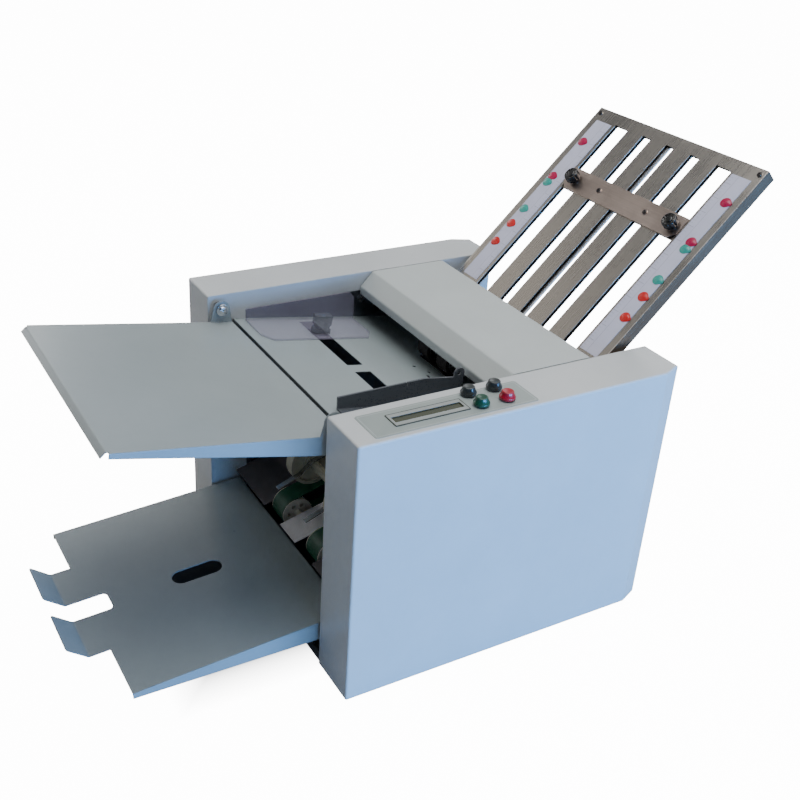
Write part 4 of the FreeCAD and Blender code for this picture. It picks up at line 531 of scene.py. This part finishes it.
def display_glass():
    """A reflective liquid-crystal window: olive, with the faint grid of its rows of cells."""
    material, tree, place = new_material("display window")
    split = put(tree, "SeparateXYZ", Vector=place)
    low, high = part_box("display_window")

    def cells(axis, start, pitch, gap):
        """Cells at each pitch along an axis, less a share of the pitch as the gap between them."""
        steps = maths(tree, "DIVIDE", minus(tree, split.outputs[axis], start), pitch)
        return maths(tree, "GREATER_THAN", maths(tree, "FRACT", steps), gap)

    grid = times(tree, cells("Y", low.y, pitch=0.0052, gap=0.16),
                 cells("X", low.x, pitch=0.0053, gap=0.14))
    cloud = noise(tree, place, 50.0, detail=3.0, rough=0.6)
    tone = blend_colour(tree, cloud, srgb(68, 71, 55), srgb(80, 83, 66))
    tone = blend_colour(tree, times(tree, grid, 0.25), tone, srgb(62, 66, 50))
    close(tree, Base_Color=tone, Roughness=fit(tree, cloud, 0.3, 0.7, 0.1, 0.16),
          Coat_Weight=0.6, Coat_Roughness=0.04)
    return material


MATERIALS["scale"] = scale_film()
MATERIALS["panel"] = panel_film()
MATERIALS["display"] = display_glass()
MATERIALS["bezel"] = display_frame()

NODE_FINISH = {
    "cover": ["left_side_cover", "right_side_cover"],
    "hood": ["hood"],
    "tray": ["feed_tray", "delivery_tray"],
    "table": ["feed_table"],
    "guides": ["delivery_guides"],
    "plate": ["fold_plate_front", "fold_stop_blade", "lower_fold_plate", "lower_stop"],
    "plate_back": ["fold_plate_back"],
    "stop": ["fold_stop_bar"],
    "plated": ["base_plate", "left_frame_plate", "right_frame_plate", "fold_plate_hooks"],
    "ground": ["tie_bars", "tray_pivot_screws", "hood_hinge_pins", "feed_shaft", "motor_pulley"],
    "spring": ["spring_fingers"],
    "black_rubber": ["rubber_feet", "separator_pad", "drive_belts"],
    "roller_rubber": ["top_fold_roller", "main_fold_roller", "rear_fold_roller",
                      "low_fold_roller"],
    "tyre_rubber": ["feed_tyres"],
    "belt": ["delivery_belts"],
    "cream": ["delivery_front_shaft", "delivery_rear_shaft"],
    "wheel": ["press_wheels"],
    "natural": ["top_roller_gear", "main_gear_pulley", "rear_roller_gear", "low_roller_gear"],
    "black": ["separator_holder", "shaft_bushes", "power_inlet", "power_rocker",
              "lower_stop_knobs"],
    "gloss_black": ["left_stop_knob", "right_stop_knob"],
    "slate": ["right_paper_guide"],
    "frosted": ["left_guide_clip", "right_guide_clip"],
    "acrylic": ["left_paper_guide"],
    "resin": ["circuit_board"],
    "motor": ["drive_motor"],
    "bezel": ["display_bezel"],
    "button_dark": ["black_button_front", "black_button_rear"],
    "button_green": ["green_button"],
    "button_red": ["red_button"],
    "scale": ["fold_scale_strips"],
    "panel": ["control_overlay"],
    "display": ["display_window"],
}


def dress(node, material):
    """Puts one material on the whole of a CAD node."""
    mesh = NODES[node].data
    if mesh.materials:
        for index in range(len(mesh.materials)):
            mesh.materials[index] = material
    else:
        mesh.materials.append(material)


for finish_name, node_names in NODE_FINISH.items():
    for node_name in node_names:
        dress(node_name, MATERIALS[finish_name])


# Mesh helpers
MERGE_DISTANCE = 1e-6
THINNEST_EDGE = 1e-7
SHARP_ANGLE = math.radians(35.0)


def make_piece(name, points, faces, body, slot, material):
    """Makes a mesh from points and faces, merges its seams, turns its faces outwards and hangs
    it on a body."""
    mesh = bpy.data.meshes.new(name)
    mesh.from_pydata([tuple(p) for p in points], [], [tuple(f) for f in faces])
    work = bmesh.new()
    work.from_mesh(mesh)
    bmesh.ops.remove_doubles(work, verts=work.verts, dist=MERGE_DISTANCE)
    bmesh.ops.dissolve_degenerate(work, edges=work.edges, dist=THINNEST_EDGE)
    bmesh.ops.recalc_face_normals(work, faces=work.faces)
    work.to_mesh(mesh)
    work.free()
    mesh.shade_smooth()
    mesh.set_sharp_from_angle(angle=SHARP_ANGLE)
    mesh.materials.append(material)
    piece = bpy.data.objects.new(name, mesh)
    bpy.context.scene.collection.objects.link(piece)
    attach(piece, body)
    return piece


def grid_faces(rows, columns):
    """Quads of a grid of points whose last column joins its first."""
    row, column = np.meshgrid(np.arange(rows - 1), np.arange(columns), indexing="ij")
    after = (column + 1) % columns
    quads = np.stack([row * columns + column, row * columns + after,
                      (row + 1) * columns + after, (row + 1) * columns + column], axis=-1)
    return quads.reshape(-1, 4)


def turned(profile, around, lobes=0, lobe_depth=0.0, lobe_span=(0.0, 1.0)):
    """A turned solid: point = (r cos t, r sin t, h), r and h from the profile, r cut back by a
    rounded flute of cos(lobes t) between two heights.  The profile starts and ends on the axis."""
    profile = np.asarray(profile, float)
    angle = np.linspace(0.0, 2 * np.pi, around, endpoint=False)
    radius = profile[:, 0][:, None] * np.ones_like(angle)[None, :]
    height = profile[:, 1][:, None] * np.ones_like(angle)[None, :]
    if lobes:
        inside = (height > lobe_span[0]) & (height < lobe_span[1])
        flute = np.clip(np.cos(lobes * angle), 0, 1)[None, :] ** 2
        radius = np.where(inside, radius * (1.0 - lobe_depth * flute), radius)
    points = np.stack([radius * np.cos(angle), radius * np.sin(angle), height], axis=-1)
    return points.reshape(-1, 3), grid_faces(len(profile), around)


def stand(points, origin, out, side):
    """Moves points from a flat frame to origin, with their Z along out and their X along side."""
    out = np.asarray(out, float) / np.linalg.norm(out)
    side = np.asarray(side, float) / np.linalg.norm(side)
    third = np.cross(out, side)
    turn = np.stack([side, third, out], axis=1)
    return points @ turn.T + np.asarray(origin, float)


def joined(shapes):
    """Several shapes of (points, faces) as one, each one's faces counting on from the last."""
    starts = np.cumsum([0] + [len(points) for points, _ in shapes[:-1]])
    return (np.concatenate([points for points, _ in shapes]),
            np.concatenate([faces + start for (_, faces), start in zip(shapes, starts)]))


def arc_points(centre, radius, start, end, count):
    """A run of profile points on a circle, from one angle to another in degrees."""
    angle = np.radians(np.linspace(start, end, count))
    return [(centre[0] + radius * math.cos(a), centre[1] + radius * math.sin(a)) for a in angle]


def plate_place(x, down, lift):
    """A point on the fold plate: x across, down from its top edge, lift off its face, in metres."""
    return PLATE_TOP + np.array([x, 0, 0]) - PLATE_UP * down + PLATE_OUT * lift


# Clamp knobs on the fold plate's stop bar
def knob_shape():
    """A lobed knob: neck, fluted rim with rounded shoulders, shallow dish and a raised boss."""
    profile = [(0, 0.0), (0.0070, 0.0), (0.0076, 0.0030), (0.0100, 0.0034)]
    profile += arc_points((0.0096, 0.0050), 0.0014, -90, 0, 5)
    profile += arc_points((0.0092, 0.0126), 0.0018, 0, 90, 6)
    profile += [(0.0078, 0.0138), (0.0062, 0.0134)]
    profile += arc_points((0.0042, 0.0136), 0.0012, 0, 90, 4)
    profile += [(0.0020, 0.0149), (0.0, 0.0149)]
    return turned(profile, 96, lobes=8, lobe_depth=0.16, lobe_span=(0.0033, 0.0139))


def make_knobs():
    points, faces = knob_shape()
    for side in ("left", "right"):
        seat = plate_place(box_middle(side + "_stop_knob").x, STOP_DOWN, KNOB_SEAT)
        piece = make_piece(side + "_clamp_knob", stand(points, seat, PLATE_OUT, ACROSS), faces,
                           side + "_knob_body", "black_plastic", MATERIALS["gloss_black"])
        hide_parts(side + "_stop_knob")


make_knobs()


# Push buttons
CAP_HEIGHT = 0.0100
BUTTONS = {"black_button_front": ("button_dark", "button_black"),
           "black_button_rear": ("button_dark", "button_black"),
           "green_button": ("button_green", "button_green"),
           "red_button": ("button_red", "button_red")}


def button_shape():
    """A push button: stem, skirt with a rounded foot, tapering sides, soft rim and dished top."""
    profile = [(0.0, -0.0145), (0.0040, -0.0145), (0.0040, 0.0), (0.0093, 0.0)]
    profile += arc_points((0.0093, 0.0007), 0.0007, -90, 0, 4)
    profile += [(0.0100, 0.0026)]
    profile += arc_points((0.0090, 0.0026), 0.0010, 0, 60, 4)
    profile += [(0.0074, 0.0080)]
    profile += arc_points((0.0062, 0.0086), 0.0013, 20, 90, 6)
    profile += [(0.0045, 0.0096), (0.0022, 0.0092), (0.0, 0.0090)]
    return turned(profile, 64)


def make_buttons():
    points, faces = button_shape()
    for node, (finish, slot) in BUTTONS.items():
        middle = box_middle(node)
        seat = np.array([middle.x, middle.y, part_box(node)[1].z - CAP_HEIGHT])
        piece = make_piece(node + "_cap", points + seat, faces, node + "_body", slot,
                           MATERIALS[finish])
        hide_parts(node)


make_buttons()


# Markers on the fold plate's scales: their colours and places down from the plate's top edge
MARKERS = {"magenta": (0.0633, 0.1325), "teal": (0.1445, 0.1985), "red": (0.2280, 0.2640)}


def marker_shape():
    """A small domed plastic pointer: a low spherical cap over a round foot, with each radius
    drawn out by a high power of cos t, so one side runs to a blunt point."""
    foot_height, point_reach, point_power = 0.0004, 0.30, 9
    length_share, width_share = 1.02, 0.94
    cap = arc_points((0.0, -0.0212), 0.0226, 70.0, 90.0, 7)
    profile = [(0.0, 0.0), (0.0076, 0.0), (0.0078, foot_height)]
    profile += [(radius, max(height, foot_height)) for radius, height in cap]
    points, faces = turned(profile, 64)
    turn = np.arctan2(points[:, 1], points[:, 0])
    drawn = 1.0 + point_reach * np.clip(np.cos(turn), 0.0, 1.0) ** point_power
    points = points * np.stack([drawn * length_share, drawn * width_share, np.ones_like(drawn)],
                               axis=-1)
    return points, faces


def make_markers():
    points, faces = marker_shape()
    for colour, downs in MARKERS.items():
        seats = [plate_place(side * MARKER_X, down, MARKER_SEAT)
                 for side in (-1, 1) for down in downs]
        placed = joined([(stand(points, seat, PLATE_OUT, ACROSS), faces) for seat in seats])
        make_piece("scale_markers_" + colour, *placed, "housing", "scale_film",
                   MATERIALS["dot_" + colour])


make_markers()


# Screws with a cross recess
def screw_head(radius, height):
    """A pan head: z = height of a flattened dome over the disc, less a cross-shaped recess that
    fades out with depth; the rim drops to the seat.  The inner sizes are shares of the radius."""
    shoulder, arm_length, arm_half, arm_slope, recess_depth = 0.72, 0.42, 0.13, 0.06, 0.75
    rings = np.concatenate([[0.0], np.linspace(0.04, 1.0, 26)])
    angle = np.linspace(0, 2 * np.pi, 64, endpoint=False)
    r, t = np.meshgrid(rings, angle, indexing="ij")
    x, y = r * np.cos(t), r * np.sin(t)
    falling = np.clip((r - shoulder) / (1.0 - shoulder), 0, 1)
    dome = height * (1.0 - 0.35 * r ** 2 - 0.65 * falling ** 3)

    def arm(along, across):
        """One arm of the cross, 1 inside and fading to 0 at its sides and ends."""
        return (np.clip((arm_length - np.abs(along)) / arm_slope, 0, 1)
                * np.clip((arm_half - np.abs(across)) / arm_slope, 0, 1))

    cross = np.clip(arm(x, y) + arm(y, x), 0, 1)
    top = dome - height * recess_depth * cross * (1.0 - r)
    surface = np.stack([x * radius, y * radius, top], axis=-1).reshape(-1, 3)
    seat_ring = np.stack([np.cos(angle) * radius, np.sin(angle) * radius, np.zeros_like(angle)],
                         axis=-1)
    seat_middle = np.zeros((len(angle), 3))
    points = np.concatenate([surface, seat_ring, seat_middle])
    return points, grid_faces(len(rings) + 2, len(angle))


def make_plate_screws(name, seats, radius, height, body):
    """Screw heads of one size that stand square on the fold plate."""
    head, faces = screw_head(radius, height)
    placed = joined([(stand(head, seat, PLATE_OUT, ACROSS), faces) for seat in seats])
    make_piece(name, *placed, body, "steel_plate", MATERIALS["screw"])


def make_pivot_caps():
    """The feed tray's pivot screws as seen inside: a washer turned from its own profile, under a
    domed head with a cross recess."""
    washer = turned([(0, 0), (0.0084, 0), (0.0084, 0.0004), (0.0081, 0.0007), (0.0, 0.0007)], 64)
    head, head_faces = screw_head(0.0056, 0.0026)
    points, faces = joined([washer, (head + np.array([0, 0, 0.0006]), head_faces)])
    pivot = box_middle("tray_pivot_screws")
    caps = [(stand(points, (side * EAR_INNER, pivot.y, pivot.z), (-side, 0, 0), (0, 1, 0)), faces)
            for side in (-1, 1)]
    make_piece("tray_pivot_caps", *joined(caps), "housing", "shaft_steel", MATERIALS["bright"])


make_plate_screws("plate_corner_screws",
                  [plate_place(side * CORNER_SCREW_X, down, CORNER_SCREW_SEAT)
                   for side in (-1, 1) for down in CORNER_SCREWS_DOWN],
                  0.0038, 0.0012, "housing")
make_plate_screws("stop_bar_screws",
                  [plate_place(x, STOP_DOWN, STOP_SCREW_SEAT) for x in STOP_SCREWS_X],
                  0.0036, 0.0012, "fold_stop_body")
make_pivot_caps()


# Camera at the photograph's angle: degrees, metres, and millimetres for the lens
VIEW_AZIMUTH, VIEW_ELEVATION, VIEW_ROLL = 58.0021, 28.4904, 4.0222
VIEW_PLACE = (1.1337, FRONT - 0.5011, 0.9794)
LENS, SENSOR = 49.66, 36.0
NEAREST, FARTHEST = 0.01, 60.0


def make_camera():
    """A camera that looks along its azimuth and elevation, then rolls about that line."""
    azimuth, elevation, roll = np.radians([VIEW_AZIMUTH, VIEW_ELEVATION, VIEW_ROLL])
    back = np.array([math.sin(azimuth) * math.cos(elevation),
                     -math.cos(azimuth) * math.cos(elevation), math.sin(elevation)])
    right = np.array([math.cos(azimuth), math.sin(azimuth), 0.0])
    up = np.cross(back, right)
    right_rolled = right * math.cos(roll) + up * math.sin(roll)
    up_rolled = -right * math.sin(roll) + up * math.cos(roll)
    data = bpy.data.cameras.new("camera")
    data.sensor_fit = "HORIZONTAL"
    data.sensor_width = SENSOR
    data.lens = LENS
    data.clip_start = NEAREST
    data.clip_end = FARTHEST
    camera = bpy.data.objects.new("camera", data)
    bpy.context.scene.collection.objects.link(camera)
    turn = Matrix((right_rolled, up_rolled, back)).transposed().to_4x4()
    camera.matrix_world = Matrix.Translation(VIEW_PLACE) @ turn
    bpy.context.scene.camera = camera


# Stage: the camera sees plain white past the machine, and other rays a soft dim studio
PLAIN_WHITE = 14.0
FLOOR_REACH = 50.0
# A painted shadow under the machine: its middle, half sizes and fade across the floor
SHADE_MIDDLE_Y = -0.06
SHADE_HALF_X, SHADE_HALF_Y, SHADE_FADE = 0.12, 0.24, 0.07
FLOOR_GLOW = 0.05
ROOM_STRENGTH = 0.75

# Area lights: place, target, size, watts and colour
LIGHTS = {
    "top_soft_box": ((0.1, 0.3, 2.6), (0.0, 0.0, 0.2), (2.2, 2.2), 58.0, (1.0, 0.99, 0.97)),
    "window_side": ((3.0, 0.8, 0.3), (0.0, 0.0, 0.2), (2.8, 0.6), 205.0, (0.15, 0.45, 1.0)),
    "tray_sheen": ((-2.9, 0.1, 1.4), (-0.1, -0.4, 0.35), (0.9, 0.9), 7.0, (1.0, 0.98, 0.95)),
    "mouth_card": ((-1.7, -0.9, 0.5), (0.05, -0.15, 0.1), (0.6, 0.5), 3.5, (0.94, 0.97, 1.0)),
    "rear_fill": ((-1.6, 2.6, 2.0), (0.0, 0.1, 0.3), (1.6, 1.6), 14.0, (1.0, 1.0, 1.0)),
    "plate_card": ((-3.0, -1.9, 2.2), (0.0, 0.2, 0.45), (2.4, 2.0), 8.0, (1.0, 0.94, 0.86)),
}


def floor_finish():
    """Matt pale floor that darkens under the machine, a painted shadow, and glows white to the
    camera around it.
    """
    material, tree, place = new_material("studio floor")
    split = put(tree, "SeparateXYZ", Vector=place)
    across = unsigned(tree, split.outputs["X"])
    along = unsigned(tree, minus(tree, split.outputs["Y"], SHADE_MIDDLE_Y))
    away = maths(tree, "MAXIMUM", minus(tree, across, SHADE_HALF_X),
                 minus(tree, along, SHADE_HALF_Y))
    clear = fit(tree, away, 0.0, SHADE_FADE)
    soft = noise(tree, place, 0.8, detail=2.0)
    tone = blend_colour(tree, soft, (0.42, 0.42, 0.42, 1), (0.44, 0.44, 0.44, 1))
    # Painted shadow: the floor turned nearly black under the machine, where the camera's white glow
    # is also taken away
    tone = blend_colour(tree, clear, (0.03, 0.03, 0.03, 1), tone)
    seen = times(tree, put(tree, "LightPath").outputs["Is Camera Ray"],
                 times(tree, clear, PLAIN_WHITE))
    close(tree, Base_Color=tone, Roughness=0.9, Emission_Color=(1, 1, 1, 1),
          Emission_Strength=plus(tree, seen, times(tree, clear, FLOOR_GLOW)))
    return material


def make_floor():
    """A wide flat floor at the machine's feet."""
    mesh = bpy.data.meshes.new("studio_floor")
    corners = [(x * FLOOR_REACH, y * FLOOR_REACH, 0)
               for x, y in ((-1, -1), (1, -1), (1, 1), (-1, 1))]
    mesh.from_pydata(corners, [], [(0, 1, 2, 3)])
    mesh.materials.append(floor_finish())
    floor = bpy.data.objects.new("studio_floor", mesh)
    bpy.context.scene.collection.objects.link(floor)


def make_room():
    """A dim grey room, paler overhead and to the rear, with blue daylight low on the right."""
    world = bpy.data.worlds.new("studio room")
    bpy.context.scene.world = world
    world.use_nodes = True
    sky = world.node_tree
    sky.nodes.clear()
    split = put(sky, "SeparateXYZ", Vector=put(sky, "TexCoord").outputs["Generated"])
    high = fit(sky, split.outputs["Z"], 0.0, 0.9)
    rear = fit(sky, split.outputs["Y"], -0.7, 0.5, 0.18, 1.0)
    side = fit(sky, split.outputs["X"], -0.1, 0.9)
    tone = blend_colour(sky, high, (0.21, 0.24, 0.28, 1), (0.60, 0.62, 0.65, 1))
    tone = blend_colour(sky, 1.0, tone, rear, "MULTIPLY")
    low_side = times(sky, side, fit(sky, split.outputs["Z"], 0.02, 0.3, 0.85, 0.0))
    tone = blend_colour(sky, low_side, tone, (0.22, 0.46, 0.90, 1))
    plain = put(sky, "LightPath").outputs["Is Camera Ray"]
    tone = blend_colour(sky, plain, tone, (1.0, 1.0, 1.0, 1))
    background = put(sky, "Background", Color=tone,
                     Strength=fit(sky, plain, 0.0, 1.0, ROOM_STRENGTH, PLAIN_WHITE))
    put(sky, "OutputWorld", Surface=background.outputs[0])


def make_lights():
    """Rectangular area lights, each turned to its target."""
    for name, (place, target, size, watts, colour) in LIGHTS.items():
        data = bpy.data.lights.new(name, "AREA")
        data.shape = "RECTANGLE"
        data.size, data.size_y = size
        data.energy = watts
        data.color = colour
        lamp = bpy.data.objects.new(name, data)
        lamp.location = place
        aim = Vector(target) - Vector(place)
        lamp.rotation_euler = aim.to_track_quat("-Z", "Y").to_euler()
        bpy.context.scene.collection.objects.link(lamp)


make_camera()
make_floor()
make_room()
make_lights()
